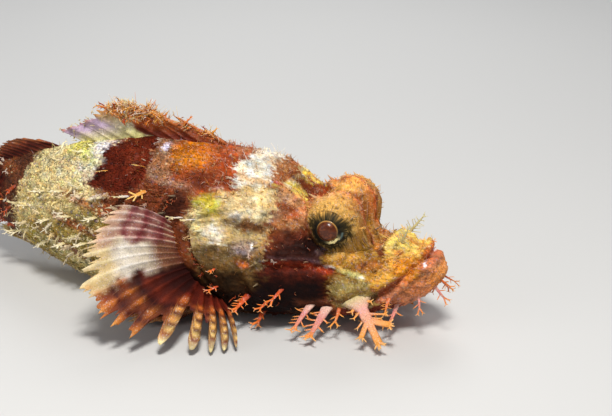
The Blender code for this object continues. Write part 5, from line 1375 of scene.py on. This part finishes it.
def build_head_frills():
    """Tiny branched flaps over the head, thickest along its ridges and its outline."""
    t, y, z = GRID[..., 0], np.abs(GRID[..., 1]), GRID[..., 2]
    up = SMOOTH_OUT[..., 2]
    weight = 0.10 + 0.5 * ramp(up, 0.3, 0.4)
    weight += 1.2 * bell(y - 9, 2.0) * ramp(up, 0.2, 0.4) * ramp(t, 20, 4)
    weight += 0.8 * bell(eye_distance(GRID)[0] - 9.4, 1.2) * (z > 30)
    weight += 0.5 * bell(z - 21.5, 1.2) * ramp(t, 24, 3) * fall(t, 50, 3)
    weight += 0.6 * bell(z - 39, 1.2) * ramp(t, 42, 4)
    weight *= outside_orbit() * (z > 6) * fall(t, 68, 6) * smoothstep((t + 3) / 4)
    crown = crown_share()
    bundle = Strands()
    for i, j in scattered(HEAD_FRILLS, weight):
        along = leaning(i, j, (0.5, 1.0), (-0.1, 0.8), 0.3)
        base = SKIN_PAINT[i, j]
        tip = mix(base * 1.5, PALE_TINTS[rng.integers(4)], rng.uniform(0.15, 0.5))
        if base.mean() < 0.05:
            tip = mix(base * 2, rgb(196, 84, 40), rng.uniform(0.3, 0.9))
        length = rng.uniform(0.9, 2.1) * MM * (1 - 0.45 * crown[i, j])
        form = blade_or_twig(0.5)
        half = length * rng.uniform(0.08, 0.15)
        small_flap(bundle, i, j, along, length, half, form, tip, share=0.6, sunk=0.3, loose=0.4, nudge=1e-6)
    return bundle.build("head_frills", FLAP_FINISH, 4, 4)


# The small spines of the head, one side: t, "z" or "y" place, length and direction
HEAD_SPINES = (
    (7.5, "y", 3.2, 1.4, (0.8, 0.2, 1.0)), (19.0, "y", 6.4, 1.8, (0.4, 0.5, 1.0)),
    (24.5, "y", 8.2, 2.2, (1.0, 0.2, 0.9)), (31.2, "y", 8.4, 2.2, (1.0, 0.2, 0.6)),
    (35.5, "y", 7.4, 2.0, (1.0, 0.1, 0.7)), (40.5, "y", 7.8, 2.2, (1.0, 0.1, 0.6)),
    (45.5, "y", 8.8, 2.2, (1.0, 0.1, 0.5)), (38.5, "z", 32.0, 1.4, (1.0, 0.7, 0.2)),
    (44.5, "z", 34.0, 1.6, (1.0, 0.7, 0.2)), (49.5, "z", 40.0, 1.8, (1.0, 0.5, 0.4)),
    (31.0, "z", 22.0, 1.2, (1.0, 0.8, 0.0)), (37.0, "z", 22.6, 1.4, (1.0, 0.8, 0.0)),
    (42.0, "z", 22.0, 1.4, (1.0, 0.8, 0.0)), (44.6, "z", 25.5, 2.4, (0.8, 1.0, 0.1)),
    (45.6, "z", 20.0, 1.8, (0.6, 1.0, -0.1)), (44.4, "z", 14.5, 1.5, (0.6, 1.0, -0.3)),
    (40.0, "z", 9.6, 1.4, (0.5, 1.0, -0.4)), (9.6, "z", 16.4, 1.2, (-0.2, 1.0, -0.3)),
    (60.5, "z", 33.0, 2.6, (1.0, 0.6, 0.1)), (61.5, "z", 28.0, 2.2, (1.0, 0.7, 0.0)),
    (71.8, "z", 35.0, 2.0, (1.0, 0.6, 0.1)), (74.0, "z", 30.5, 2.0, (1.0, 0.7, 0.1)),
)


def build_spines():
    """The small spines of the head, on both sides."""
    bundle = Strands()
    for side in (-1, 1):
        for t, view, place, length, direction in HEAD_SPINES:
            i, j = nearest_on_skin(t, side, **{view: place})
            back, outwards, up = direction
            along = unit(turned(np.array([back, outwards * side, up]), t))
            base = SKIN_PAINT[i, j]
            size = length * MM
            halves = taper(size * 0.2 + 0.2 * MM, 1, 0.5, 0.08)
            bundle.add(WORLD[i, j] - along * 0.6 * MM, along, OUT[i, j] * 0.08, OUT[i, j] + 1e-6,
                       size * 1.2,
                       halves, halves, shades(base, 0.5, mix(base, CREAM, 0.25)), SPOTS[i, j])
    return bundle.build("head_spines", SPINE_FINISH, 6, 8)


build_threads()
build_tassels()
build_frills()
build_head_frills()
build_spines()


# Scales. A scale's points are given backwards, across and outwards, in shares of its size. The last one is
# its foot.
SCALE_PITCH = 0.82
SCALE_SHAPE = np.array([
    (-0.75, -0.50, -0.10), (-0.80, 0.0, -0.06), (-0.75, 0.50, -0.10),
    (0.0, -0.64, 0.0), (0.0, 0.0, 0.12), (0.0, 0.64, 0.0),
    (0.50, -0.46, 0.05), (0.68, 0.0, 0.16), (0.50, 0.46, 0.05),
    (-0.3, 0.0, -0.45),
])
SCALE_QUADS = np.array([(0, 3, 4, 1), (1, 4, 5, 2), (3, 6, 7, 4), (4, 7, 8, 5)])
SCALE_RIM = (0, 1, 2, 5, 8, 7, 6, 3)
SCALE_WALLS = np.array([(SCALE_RIM[k], SCALE_RIM[(k + 1) % 8], 9) for k in range(8)])
# Painted shade and light on each scale's points: darker at its front and foot, where it tucks under the scale
# ahead and into the skin, and lighter on its raised middle and rear tip
SCALE_SHADE_AND_LIGHT = np.array([0.88, 0.92, 0.88, 0.96, 1.06, 0.96, 1.02, 1.10, 1.02, 0.7])
SCALE_PATCH = 0.0015


def scale_places(side):
    """The grid places of the scales of one side, in uneven rows."""
    picked = []
    for number, t in enumerate(np.arange(67.0, 156.0, SCALE_PITCH * 0.94)):
        i = int(np.argmin(np.abs(ALONG - t)))
        step = np.linalg.norm(np.roll(WORLD[i], -1, axis=0) - WORLD[i], axis=1)
        reach = np.concatenate([[0], np.cumsum(step)[:-1]]) * 1000
        for place in np.arange((number % 2) * SCALE_PITCH / 2, reach[-1], SCALE_PITCH):
            j = int(np.searchsorted(reach, place + rng.uniform(-0.22, 0.22))) % SIDES
            row = min(max(i + int(rng.integers(-1, 2)), 0), RINGS - 1)
            if GRID[row, j, 1] * side > 0 and GRID[row, j, 2] > 0.6:
                picked.append((row, j))
    return np.array(picked).T


def build_scales(name, side):
    """Small overlapping scales on the trunk and tail stalk, one side."""
    i, j = scale_places(side)
    count, t = len(i), GRID[i, j, 0]
    near_edge = ramp(t, 67, 8)
    size = rng.uniform(0.52, 0.86, count) * mix(0.5, 1.0, near_edge) * fall(t, 170, 30) * MM
    back = unit(WORLD[np.minimum(i + 4, RINGS - 1), j] - WORLD[np.maximum(i - 4, 0), j])
    out = SMOOTH_OUT[i, j]
    across = unit(np.cross(out, back))
    back = unit(back + across * rng.normal(0, 0.16, (count, 1)))
    across = unit(np.cross(out, back))
    root = WORLD[i, j] + out * rng.uniform(-0.00006, 0.00004, (count, 1))
    backwards, sideways, outwards = (SCALE_SHAPE[:, c:c + 1] for c in range(3))
    spread = back[:, None] * backwards + across[:, None] * sideways + out[:, None] * outwards
    points = root[:, None] + spread * size[:, None, None]
    points[..., 2] = np.maximum(points[..., 2], 0.0)
    start = (np.arange(count) * len(SCALE_SHAPE))[:, None, None]
    quads, walls = SCALE_QUADS[None] + start, SCALE_WALLS[None] + start
    # The skin's colour under each scale, with the painted shade and light of its points and a random tone
    tint = SKIN_PAINT[i, j][:, None] * SCALE_SHADE_AND_LIGHT[None, :, None] * rng.uniform(0.84, 1.18, (count, 1, 1))
    tint = tint * (1 + rng.normal(0, 0.05, (count, 1, 3)))
    light = SKIN_PAINT[i, j].mean(-1) > 0.1
    golden = ((rng.random(count) < 0.16) & light & (t > 92))[:, None, None]
    tint = np.clip(mix(tint, rgb(250, 236, 180), golden * 0.55), 0.002, 0.92)
    uv = SPOTS[i, j][:, None] + SCALE_SHAPE[None, :, :2] * SCALE_PATCH
    return make_mesh(name, points.reshape(-1, 3), [quads.reshape(-1, 4), walls.reshape(-1, 3)],
                     tint.reshape(-1, 3), uv.reshape(-1, 2), SCALE_FINISH)


build_scales("scales_left", 1)
build_scales("scales_right", -1)


# Fins
LOWEST_FIN = 0.05
UV_SIDE = 0.46


def fin_sheet(name, rays, reach, ray_half, web_half, colour_of, per_gap=8, steps=54, fray=0.04, seed=300,
              replaces=(), floor=0.35, fingers=2.0):
    """A fin: rays and webs as one closed sheet with the rays raised in it and a frayed rim.

    A ray is its root, its tip and its bow. reach is the share of the rays that the webs cover. From the share
    fingers of the fin on, the rays stand free of the web like fingers.
    """
    roots, tips, bows = (np.array(v, float) for v in zip(*rays))
    gaps = len(rays) - 1
    columns = gaps * per_gap + 1
    s = np.linspace(0, gaps, columns)
    i = np.clip(np.floor(s).astype(int), 0, gaps - 1)
    f = (s - i)[:, None]
    root, tip, bow = (v[i] * (1 - f) + v[i + 1] * f for v in (roots, tips, bows))
    f = f[:, 0]
    free = smoothstep((s / gaps - fingers) / 0.05)
    beside = np.minimum(f, 1 - f)
    between = mix(np.sin(np.pi * f) ** 0.8, ramp(beside, 0.20, 0.12), free)
    web_reach = np.interp(s, np.arange(gaps) + 0.5, np.broadcast_to(reach, (gaps,)))
    spot = np.stack([s * 3.1, s * 0, s * 0 + seed], -1)
    ragged = noise(spot, 1.0, seed) * fray + noise(spot, 0.4, seed + 3) * fray
    length = 1 - (1 - web_reach) * between + ragged * (0.4 + between)
    length = length - 0.09 * free * np.minimum(beside / 0.2, 1) ** 2
    u = np.linspace(0, 1, steps)
    w = u[None] * length[:, None]
    fish = root[:, None] + (tip - root)[:, None] * w[..., None]
    fish = fish + bow[:, None] * (4 * w * (1 - w))[..., None]
    ripple = noise(np.stack([s[:, None] * 1.5 + 0 * w, w * 6, 0 * w + seed], -1), 1.0, seed + 7) * 0.35 * w
    fish[..., 2] = smooth_max(fish[..., 2], floor, 0.25)
    ridge = bell(beside, mix(0.17, 0.26, free))[:, None]
    knots = 1 + 0.10 * np.sin(w * 60 + s[:, None])
    ray_size = mix(ray_half[0], ray_half[1], w)
    web_size = mix(web_half[0], web_half[1], np.clip(w / 0.4, 0, 1))
    half = (web_size + (ray_size - web_size) * ridge) * knots
    half = half * (0.35 + 0.65 * smoothstep((1 - u[None]) / 0.06))
    normal = unit(np.cross(np.gradient(fish, axis=0), np.gradient(fish, axis=1)))
    fish = fish + normal * ripple[..., None] * (1 - ridge * 0.5)[..., None]
    fish[..., 2] = np.maximum(fish[..., 2], floor)
    both = np.concatenate([(fish + normal * half[..., None]).reshape(-1, 3),
                           (fish - normal * half[..., None]).reshape(-1, 3)])
    both[:, 2] = np.maximum(both[:, 2], LOWEST_FIN)
    count = columns * steps
    grid = np.arange(count).reshape(columns, steps)
    upper = np.stack([grid[:-1, :-1], grid[1:, :-1], grid[1:, 1:], grid[:-1, 1:]], -1).reshape(-1, 4)
    lower = upper[:, ::-1] + count
    rim = np.concatenate([grid[0, :-1], grid[:-1, -1], grid[-1, :0:-1], grid[:0:-1, 0]])
    ahead = np.roll(rim, -1)
    wall = np.stack([rim, ahead, ahead + count, rim + count], -1)
    place = (s / gaps)[:, None]
    colours = colour_of(place + 0 * w, w, ridge + 0 * w, fish).reshape(-1, 3)
    spots = np.broadcast_arrays(place * UV_SPAN + UV_EDGE, u[None] * UV_SIDE + UV_EDGE)
    flat = np.stack(spots, -1).reshape(-1, 2)
    return make_mesh(name, bend(both), [upper, lower, wall], np.concatenate([colours, colours]),
                     np.concatenate([flat, flat + np.array([0.0, 0.5])]), FIN_FINISH,
                     replaces=replaces)


def banded(w, shares, tints, warp):
    """Bands of colour along a ray."""
    tints = np.array([rgb(*c) for c in tints])
    return np.stack([np.interp(w + warp, shares, tints[:, c]) for c in range(3)], -1)


def mottle(fish, seed, colour, strength=0.3):
    """Clouds of light and dark over a colour, and pale flecks where it is light."""
    tone = layered_noise(fish, 2.2, seed, 3)[..., None]
    near, _, label = cells(fish, 1.2, seed + 5)
    fleck = fall(near, 0.28, 0.12) * (label > 0.7) * smoothstep((colour.mean(-1) - 0.05) / 0.1)
    colour = dye(colour * (1 + strength * tone), (240, 222, 190), fleck * 0.5)
    return np.clip(colour, 0.002, 0.95)


# The breast fin's colours from its upper rays to its lowest: where each lot of rays starts, how soon it takes
# over, then the shares along a ray with the rays' colours and the webs' colours.
BREAST_LOOKS = (
    (0.0, 0.01, (0, 0.15, 0.25, 0.35, 0.45, 0.55, 0.65, 0.75, 0.88, 1.0),
     ((150, 100, 70), (206, 170, 140), (150, 70, 70), (216, 176, 166), (156, 84, 84), (220, 190, 178),
      (166, 96, 96),
      (226, 206, 190), (206, 170, 150), (226, 200, 160)),
     ((110, 50, 36), (120, 60, 50), (96, 30, 36), (140, 90, 80), (96, 30, 36), (150, 100, 90),
      (104, 40, 46),
      (170, 130, 110), (190, 150, 120), (214, 180, 140))),
    (0.24, 0.06, (0, 0.25, 0.4, 0.62, 0.78, 1.0),
     ((96, 40, 26), (150, 106, 78), (226, 216, 200), (236, 230, 220), (220, 200, 150), (226, 206, 160)),
     ((76, 28, 20), (110, 70, 50), (196, 182, 160), (216, 206, 190), (196, 170, 120), (206, 176, 120))),
    (0.46, 0.07, (0, 0.3, 0.45, 0.55, 0.68, 0.78, 0.9, 1.0),
     ((40, 12, 9), (62, 18, 12), (110, 40, 22), (56, 16, 12), (196, 110, 40), (80, 24, 20), (206, 120, 50),
      (226, 160, 84)),
     ((34, 10, 8), (46, 14, 11), (80, 26, 16), (44, 13, 12), (110, 50, 24), (54, 18, 18), (140, 66, 34),
      (200, 120, 56))),
    (0.72, 0.05, (0, 0.36, 0.44, 0.52, 0.58, 0.64, 0.70, 0.76, 0.82, 0.88, 1.0),
     ((60, 16, 10), (110, 34, 18), (206, 110, 44), (70, 16, 20), (230, 160, 80), (66, 14, 30),
      (240, 186, 100), (76, 18, 34),
      (244, 206, 124), (110, 36, 30), (250, 232, 170)),
     ((50, 14, 9), (80, 24, 14), (110, 44, 22), (60, 18, 20), (120, 50, 30), (60, 18, 30), (130, 60, 34),
      (70, 24, 36),
      (150, 80, 40), (120, 50, 30), (200, 140, 80))),
)


def laid_over(colour, mine, place, begin, soft):
    """The colour of one lot of a fin's rays laid over that of the lots before it, if there are any."""
    return mine if colour is None else mix(colour, mine, smoothstep((place - begin) / soft)[..., None])


def breast_colour(s, w, ridge, fish):
    warp = layered_noise(fish, 3.0, 311, 2) * 0.035
    colour = None
    for begin, soft, shares, rays, webs in BREAST_LOOKS:
        mine = mix(banded(w, shares, webs, warp), banded(w, shares, rays, warp), ridge[..., None])
        colour = laid_over(colour, mine, s + warp, begin, soft)
    return mottle(fish, 321, colour, 0.25)


def fin_colour(lump, seed, drift, web, ray, shares, tints):
    """The colours of one of the simpler fins: bands that run over its rays and, darker, over its webs."""
    def colour_of(s, w, ridge, fish):
        warp = layered_noise(fish, lump, seed, 2) * drift
        colour = banded(w, shares, tints, warp)
        return mottle(fish, seed + 4, mix(colour * web, colour * ray, ridge[..., None]))

    return colour_of


BREAST_RAYS = 17
BREAST_ROOT_TOP, BREAST_ROOT_LOW = (69.8, 26.0), (59.4, 7.5)
BREAST_FAN = (
    (14.0, 9.0, 9.0), (18.0, 15.0, 7.5), (20.5, 22.0, 3.5), (18.0, 27.5, -2.0),
    (10.0, 29.9, -8.0), (-9.5, 21.9, -9.5), (-15.0, 16.8, -6.5),
)
BREAST_BOW = 3.0


def breast_fin(word, side):
    table = np.array(BREAST_FAN, float)
    rays, reach = [], []
    for k in range(BREAST_RAYS):
        u = k / (BREAST_RAYS - 1)
        t = mix(BREAST_ROOT_TOP[0], BREAST_ROOT_LOW[0], u**1.3)
        z = mix(BREAST_ROOT_TOP[1], BREAST_ROOT_LOW[1], u)
        place = u * (len(table) - 1)
        run = np.array([np.interp(place, range(len(table)), table[:, c]) for c in range(3)]) * (1, side, 1)
        start = SMOOTH_GRID[nearest_on_skin(t, side, z=z)]
        bow = (-10.0 * max(u - 0.7, 0), side * BREAST_BOW * 0.5, BREAST_BOW * (1 - 0.5 * u))
        rays.append((start + (0.0, -side * 2 * SUNK, 0.0), start + run, bow))
        reach.append(0.92 - 1.25 * max(u - 0.6, 0))
    fin_sheet("breast_fin_" + word, rays, reach[1:], (0.85, 0.42), (0.5, 0.14), breast_colour, per_gap=10,
              fray=0.06, seed=331 + side, replaces=("pectoral_fin_" + word,), fingers=0.70)


BELLY_LENGTHS = (13.0, 19.0, 22.0, 23.0, 21.0, 17.0)
BELLY_COLOUR = fin_colour(
    3.0, 351, 0.08, 0.7, 1.0, (0, 0.3, 0.5, 0.7, 0.85, 1.0),
    ((60, 18, 14), (120, 44, 26), (206, 140, 90), (96, 34, 30), (214, 130, 70), (236, 196, 140)),
)


def belly_fin(word, side):
    rays = []
    for k, length in enumerate(BELLY_LENGTHS):
        u = k / (len(BELLY_LENGTHS) - 1)
        start = plain_body(np.array([mix(61.0, 67.0, u)]), np.array([side * math.radians(135.0)]))[0]
        angle = math.radians(mix(58.0, 22.0, u))
        run = np.array([math.cos(angle), side * math.sin(angle), 0.0]) * length
        rays.append((start + (-0.4 * SUNK, -side * SUNK, 0.6), run + (start[0], start[1], 1.0),
                     (0.0, 0.0, 0.2)))
    fin_sheet("belly_fin_" + word, rays, 0.88, (0.8, 0.35), (0.5, 0.16), BELLY_COLOUR, steps=40,
              seed=361 + side, replaces=("pelvic_fin_" + word,), floor=0.9)


def slope_of(curve, t):
    return math.atan2(float(curve(t + 1) - curve(t - 1)), 2)


# The spiny back fin's colours from its first rays to its last: where each lot of rays starts, how soon it
# takes over, how far its bands drift, then the shares along a ray with their colours.
BACK_LOOKS = (
    (0.0, 1.0, 0.1, (0, 0.35, 0.7, 1.0), ((90, 34, 18), (130, 60, 28), (190, 104, 44), (216, 160, 100))),
    (0.16, 0.08, 0.1, (0, 0.3, 0.6, 0.85, 1.0),
     ((66, 22, 12), (104, 36, 16), (170, 84, 30), (214, 134, 50), (232, 196, 140))),
    (0.47, 0.06, 0.1, (0, 0.3, 0.5, 0.75, 0.9, 1.0),
     ((206, 196, 110), (214, 206, 150), (220, 210, 180), (206, 180, 130), (196, 130, 70), (170, 90, 50))),
    (0.60, 0.06, 0.06, (0, 0.3, 0.5, 0.6, 0.85, 0.95, 1.0),
     ((206, 200, 110), (216, 206, 150), (200, 184, 176), (190, 168, 188), (180, 154, 178), (180, 130, 130),
      (180, 116, 96))),
)


def back_colour(s, w, ridge, fish):
    warp = layered_noise(fish, 4.0, 371, 2)
    place = s + warp * 0.06
    colour = None
    for begin, soft, drift, shares, tints in BACK_LOOKS:
        mine = banded(w, shares, tints, warp * drift)
        colour = laid_over(colour, mine, place, begin, soft)
    return mottle(fish, 375, mix(colour, colour * 0.8 + rgb(60, 30, 16), ridge[..., None] * 0.5))


SPINY_LENGTHS = (12.0, 18.0, 22.0, 23.0, 22.5, 21.0, 19.0, 17.0, 15.0, 13.5, 12.0, 11.0)
SPINY_REACH = [0.74] * 5 + [0.86] + [0.95] * 5


def spiny_rays():
    """The spines of the back, which lean to either side in turn."""
    rays = []
    for k, length in enumerate(SPINY_LENGTHS):
        t = 57.0 + k * 4.3
        raised = math.radians(25.0) + slope_of(TOP, t) * 0.6
        root = np.array([t, 0.0, float(TOP(t)) - SUNK - 0.6])
        run = np.array([math.cos(raised), 0.0, math.sin(raised)]) * (length + SUNK)
        rays.append((root, root + run + (0.0, 0.9 * math.sin(k * 2.3), 0.0), (0.0, 0.0, 0.6)))
    return rays


SOFT_LENGTHS = (11.0, 15.0, 17.0, 17.5, 17.0, 16.0, 15.0, 13.0, 11.0, 9.0)
SOFT_COLOUR = fin_colour(
    3.0, 391, 0.1, 0.75, 1.1, (0, 0.25, 0.5, 0.75, 1.0),
    ((150, 120, 70), (96, 40, 22), (74, 24, 15), (124, 54, 26), (160, 96, 56)),
)


def back_fin_soft():
    rays = []
    for k, length in enumerate(SOFT_LENGTHS):
        t = 113.6 + k * 2.5
        raised = math.radians(mix(15.0, 8.0, k / 9)) + slope_of(TOP, t) * 0.5
        root = np.array([t, 0.0, float(TOP(t)) - SUNK - 0.4])
        tip = root + np.array([math.cos(raised), 0.02, math.sin(raised)]) * (length + SUNK)
        rays.append((root, tip, (0.0, 0.5, 0.4)))
    fin_sheet("back_fin_soft", rays, 0.93, (0.7, 0.3), (0.5, 0.16), SOFT_COLOUR, steps=40, seed=401,
              replaces=("dorsal_fin_soft",))


UNDER_LENGTHS = (6.0, 9.5, 10.5, 14.0, 16.0, 16.0, 14.0, 11.0)
UNDER_COLOUR = fin_colour(
    3.0, 393, 0.1, 0.75, 1.1, (0, 0.3, 0.5, 0.75, 0.9, 1.0),
    ((150, 130, 60), (170, 140, 70), (96, 44, 24), (190, 160, 90), (226, 214, 180), (236, 230, 210)),
)


def under_fin():
    lowered = math.radians(7.0)
    rays = []
    for k, length in enumerate(UNDER_LENGTHS):
        t = 117.0 + k * 2.1
        root = np.array([t, 0.0, float(UNDER(t)) + SUNK + 0.4])
        run = np.array([math.cos(lowered), 0.0, -math.sin(lowered)]) * (length + SUNK)
        rays.append((root, root + run + (0, 0, -SUNK * 0.6), (0.0, 0.3, -0.5)))
    fin_sheet("tail_base_fin", rays, 0.86, (0.7, 0.3), (0.5, 0.16), UNDER_COLOUR, steps=36, seed=411,
              replaces=("anal_fin",), floor=0.7)


TAIL_RAYS = 13
TAIL_COLOUR = fin_colour(
    4.0, 421, 0.06, 0.7, 1.1, (0, 0.15, 0.3, 0.5, 0.62, 0.8, 0.92, 1.0),
    ((96, 30, 18), (150, 70, 36), (214, 180, 130), (206, 160, 110), (90, 28, 18), (110, 44, 28),
     (220, 180, 130),
     (232, 200, 160)),
)


def tail_fin():
    rays = []
    for k in range(TAIL_RAYS):
        u = k / (TAIL_RAYS - 1)
        out = 2 * u - 1
        tip = (TAIL_FIN_END - 8.0 * out**2 * (0.4 + 0.6 * out**2), 0.0, mix(4.6, 35.4, u))
        rays.append(((157.6, 0.0, mix(13.6, 25.4, u)), tip, (0.0, 0.8, 0.5 * out)))
    fin_sheet("tail_fin", rays, 0.96, (0.8, 0.32), (0.6, 0.18), TAIL_COLOUR, steps=56, seed=431,
              replaces=("caudal_fin",))


for word, side in (("left", 1), ("right", -1)):
    breast_fin(word, side)
    belly_fin(word, side)
BACK_RAYS = spiny_rays()
fin_sheet("back_fin_spiny", BACK_RAYS, SPINY_REACH, (0.95, 0.4), (0.7, 0.2), back_colour, per_gap=10,
          steps=44,
          fray=0.05, seed=381, replaces=("dorsal_fin_spiny",))
back_fin_soft()
under_fin()
tail_fin()

# Tufts of the back's spines. The first six spines have the colourful ones.
TUFTED = 6


def loose_way(t, backwards, spread, upwards):
    """A way drawn from a range backwards and one upwards, and to either side."""
    return unit(turned(np.array([rng.uniform(*backwards), rng.normal(0, spread), rng.uniform(*upwards)]),
                       t))


def build_back_tufts():
    """The tufts of threads on the tips of the back's spines."""
    bundle = Strands()
    for k, (root, tip, _) in enumerate(BACK_RAYS):
        peak, tufted = 2 <= k <= 5, k < TUFTED
        column = k / 13 + 0.03
        for _ in range(130 if peak else 24 if tufted else 7):
            s = rng.uniform(0.5, 1.0) ** (0.6 if peak else 1.0)
            fish = root + (tip - root) * s + np.array([0, rng.normal(0, 1.0), rng.normal(0, 0.6)])
            way = loose_way(fish[0], (-0.5, 1.0), 0.8, (-0.1, 1.0))
            length = rng.uniform(0.8, 3.0) * (1.0 if peak else 0.6) * MM
            wide = rng.uniform(0.09, 0.24) * MM
            base = mix(rgb(160, 66, 20), rgb(240, 170, 70), rng.random()) if tufted else rgb(200, 180, 130)
            end = (AMBER, ORANGE, CREAM, WHITE)[rng.integers(4)] if tufted else CREAM
            bundle.add(bend(fish), way, rng.normal(0, 0.4, 3), np.cross(way, (0.3, 0.2, 0.9)), length,
                       taper(wide, 1, 0.8, 0.3), taper(wide, 0.6, 0.5, 0.2), shades(base, 0.5, end),
                       np.array([column, s * 0.9]))
        for _ in range(18 if 3 <= k <= 5 else 5 if tufted else 1):
            s = rng.uniform(0.62, 1.02)
            fish = root + (tip - root) * s + np.array([0, rng.normal(0, 0.7), 0])
            way = loose_way(fish[0], (-0.3, 0.9), 0.7, (0.0, 1.0))
            across = unit(np.cross(way, (0.3, 0.8, 0.3)))
            length = rng.uniform(1.4, 3.2) * (1.0 if tufted else 0.6) * MM
            shade = (AMBER, ORANGE, CREAM, RUST)[rng.integers(4)] if tufted else CREAM
            flap(bundle, bend(fish), way, across, unit(np.cross(way, across)), length, length * 0.13,
                 blade_or_twig(0.6), (mix(RUST, shade, 0.3), mix(RUST, shade, 0.8), shade),
                 np.array([column, s * 0.9]), loose=0.4)
        for _ in range(7 if k < 4 else 0):
            fish = root + (tip - root) * rng.uniform(0.4, 1.0)
            way = loose_way(fish[0], (-0.3, 1.0), 0.4, (0.5, 1.0))
            wide = rng.uniform(0.08, 0.14) * MM
            curl = rng.normal(0, 0.3, 3)
            bundle.add(bend(fish), way, curl, np.cross(way, (0.3, 0.2, 0.9)), rng.uniform(2.0, 4.2) * MM,
                       taper(wide, 1, 0.8, 0.4), taper(wide, 1, 0.7, 0.4), shades(RUST, 0.6, CREAM),
                       np.array([column, 0.5]))
    return bundle.build("back_fin_tufts", FLAP_FINISH, 5, 4)


build_back_tufts()

# Floor, light and camera. The floor's line runs level and then curves up into a wall.
FLOOR_HALF, WALL_AT, WALL_TOP, CURVE_RADIUS, CURVE_STEPS = 1.6, 1.6, 1.6, 0.6, 12
FLOOR_SIDES = (-2.4, 2.4)
FLOOR_DROP = 0.0002
LIGHTS = (
    ("key", (0.12, -0.22, 0.50), (0.01, 0, 0.02), 0.14, 2.9, (1.0, 0.97, 0.93)),
    ("fill", (-0.40, -0.45, 0.22), (0, 0, 0.02), 0.5, 0.8, (0.94, 0.97, 1.0)),
    ("rim", (-0.10, 0.42, 0.40), (0, 0, 0.03), 0.3, 1.2, (1, 1, 1)),
)
SKY, SKY_STRENGTH = (0.9, 0.93, 1.0, 1), 0.24

# Where the camera stands follows from the place of the near eye in the picture, EYE_PIXEL
AZIMUTH, ELEVATION, ROLL = math.radians(18.0), math.radians(20.0), math.radians(1.5)
DISTANCE, FOCAL_PIXELS = 0.50, 1800.0
PICTURE_WIDTH, PICTURE_CENTRE, EYE_PIXEL = 612, (306, 208), (326, 232.5)
SENSOR_WIDTH = 36.0


def floor_finish():
    made = bpy.data.materials.new("pale_floor")
    made.use_nodes = True
    tree = made.node_tree
    grain = node_of(tree, "TexNoise", [("Scale", 6.0)])
    tones = node_of(tree, "ValToRGB", (), [("Fac", grain.outputs["Fac"])])
    for stop, light in zip(tones.color_ramp.elements, ((0.60, 0.60, 0.59, 1), (0.64, 0.64, 0.63, 1))):
        stop.color = light
    inputs = tree.nodes["Principled BSDF"].inputs
    tree.links.new(tones.outputs["Color"], inputs["Base Color"])
    inputs["Roughness"].default_value = 0.8
    return made


def build_floor():
    mesh = bpy.data.meshes.new("floor")
    line = [(-FLOOR_HALF, 0.0)]
    for k in range(CURVE_STEPS + 1):
        turn = math.pi / 2 * k / CURVE_STEPS
        y = WALL_AT - CURVE_RADIUS + CURVE_RADIUS * math.sin(turn)
        line.append((y, CURVE_RADIUS - CURVE_RADIUS * math.cos(turn)))
    line.append((WALL_AT, WALL_TOP))
    points = [(x, y, z) for y, z in line for x in FLOOR_SIDES]
    faces = [(2 * k, 2 * k + 1, 2 * k + 3, 2 * k + 2) for k in range(len(line) - 1)]
    mesh.from_pydata(points, [], faces)
    mesh.shade_smooth()
    mesh.materials.append(floor_finish())
    obj = bpy.data.objects.new("floor", mesh)
    bpy.context.scene.collection.objects.link(obj)
    obj.location = (0, 0, -FLOOR_DROP)


def build_light():
    for name, place, aim, size, power, tint in LIGHTS:
        lamp = bpy.data.lights.new(name, "AREA")
        lamp.shape = "DISK"
        lamp.size = size
        lamp.energy = power
        lamp.color = tint
        obj = bpy.data.objects.new(name, lamp)
        obj.location = place
        obj.rotation_euler = (Vector(aim) - Vector(place)).to_track_quat("-Z", "Y").to_euler()
        bpy.context.scene.collection.objects.link(obj)
    world = bpy.data.worlds.new("studio")
    world.use_nodes = True
    world.node_tree.nodes["Background"].inputs["Color"].default_value = SKY
    world.node_tree.nodes["Background"].inputs["Strength"].default_value = SKY_STRENGTH
    bpy.context.scene.world = world
    bpy.context.scene.view_settings.view_transform = "Standard"


def build_camera():
    level = math.cos(ELEVATION)
    back = np.array([math.sin(AZIMUTH) * level, -math.cos(AZIMUTH) * level, math.sin(ELEVATION)])
    right = np.array([math.cos(AZIMUTH), math.sin(AZIMUTH), 0.0])
    up = np.cross(back, right)
    right, up = right * math.cos(ROLL) + up * math.sin(ROLL), up * math.cos(ROLL) - right * math.sin(ROLL)
    eye = np.array([LIP_X - EYE_AT[0], -(EYE_AT[1] + EYE_RADIUS), EYE_AT[2]]) / 1000
    aside, below = ((at - centre) * DISTANCE / FOCAL_PIXELS for at,
                    centre in zip(EYE_PIXEL, PICTURE_CENTRE))
    lens = bpy.data.cameras.new("camera")
    lens.sensor_width = SENSOR_WIDTH
    lens.lens = FOCAL_PIXELS * SENSOR_WIDTH / PICTURE_WIDTH
    lens.clip_start, lens.clip_end = 0.01, 20.0
    obj = bpy.data.objects.new("camera", lens)
    obj.location = eye + back * DISTANCE - right * aside + up * below
    obj.rotation_euler = Matrix([list(v) for v in (right, up, back)]).transposed().to_euler()
    bpy.context.scene.collection.objects.link(obj)
    bpy.context.scene.camera = obj


build_floor()
build_light()
build_camera()
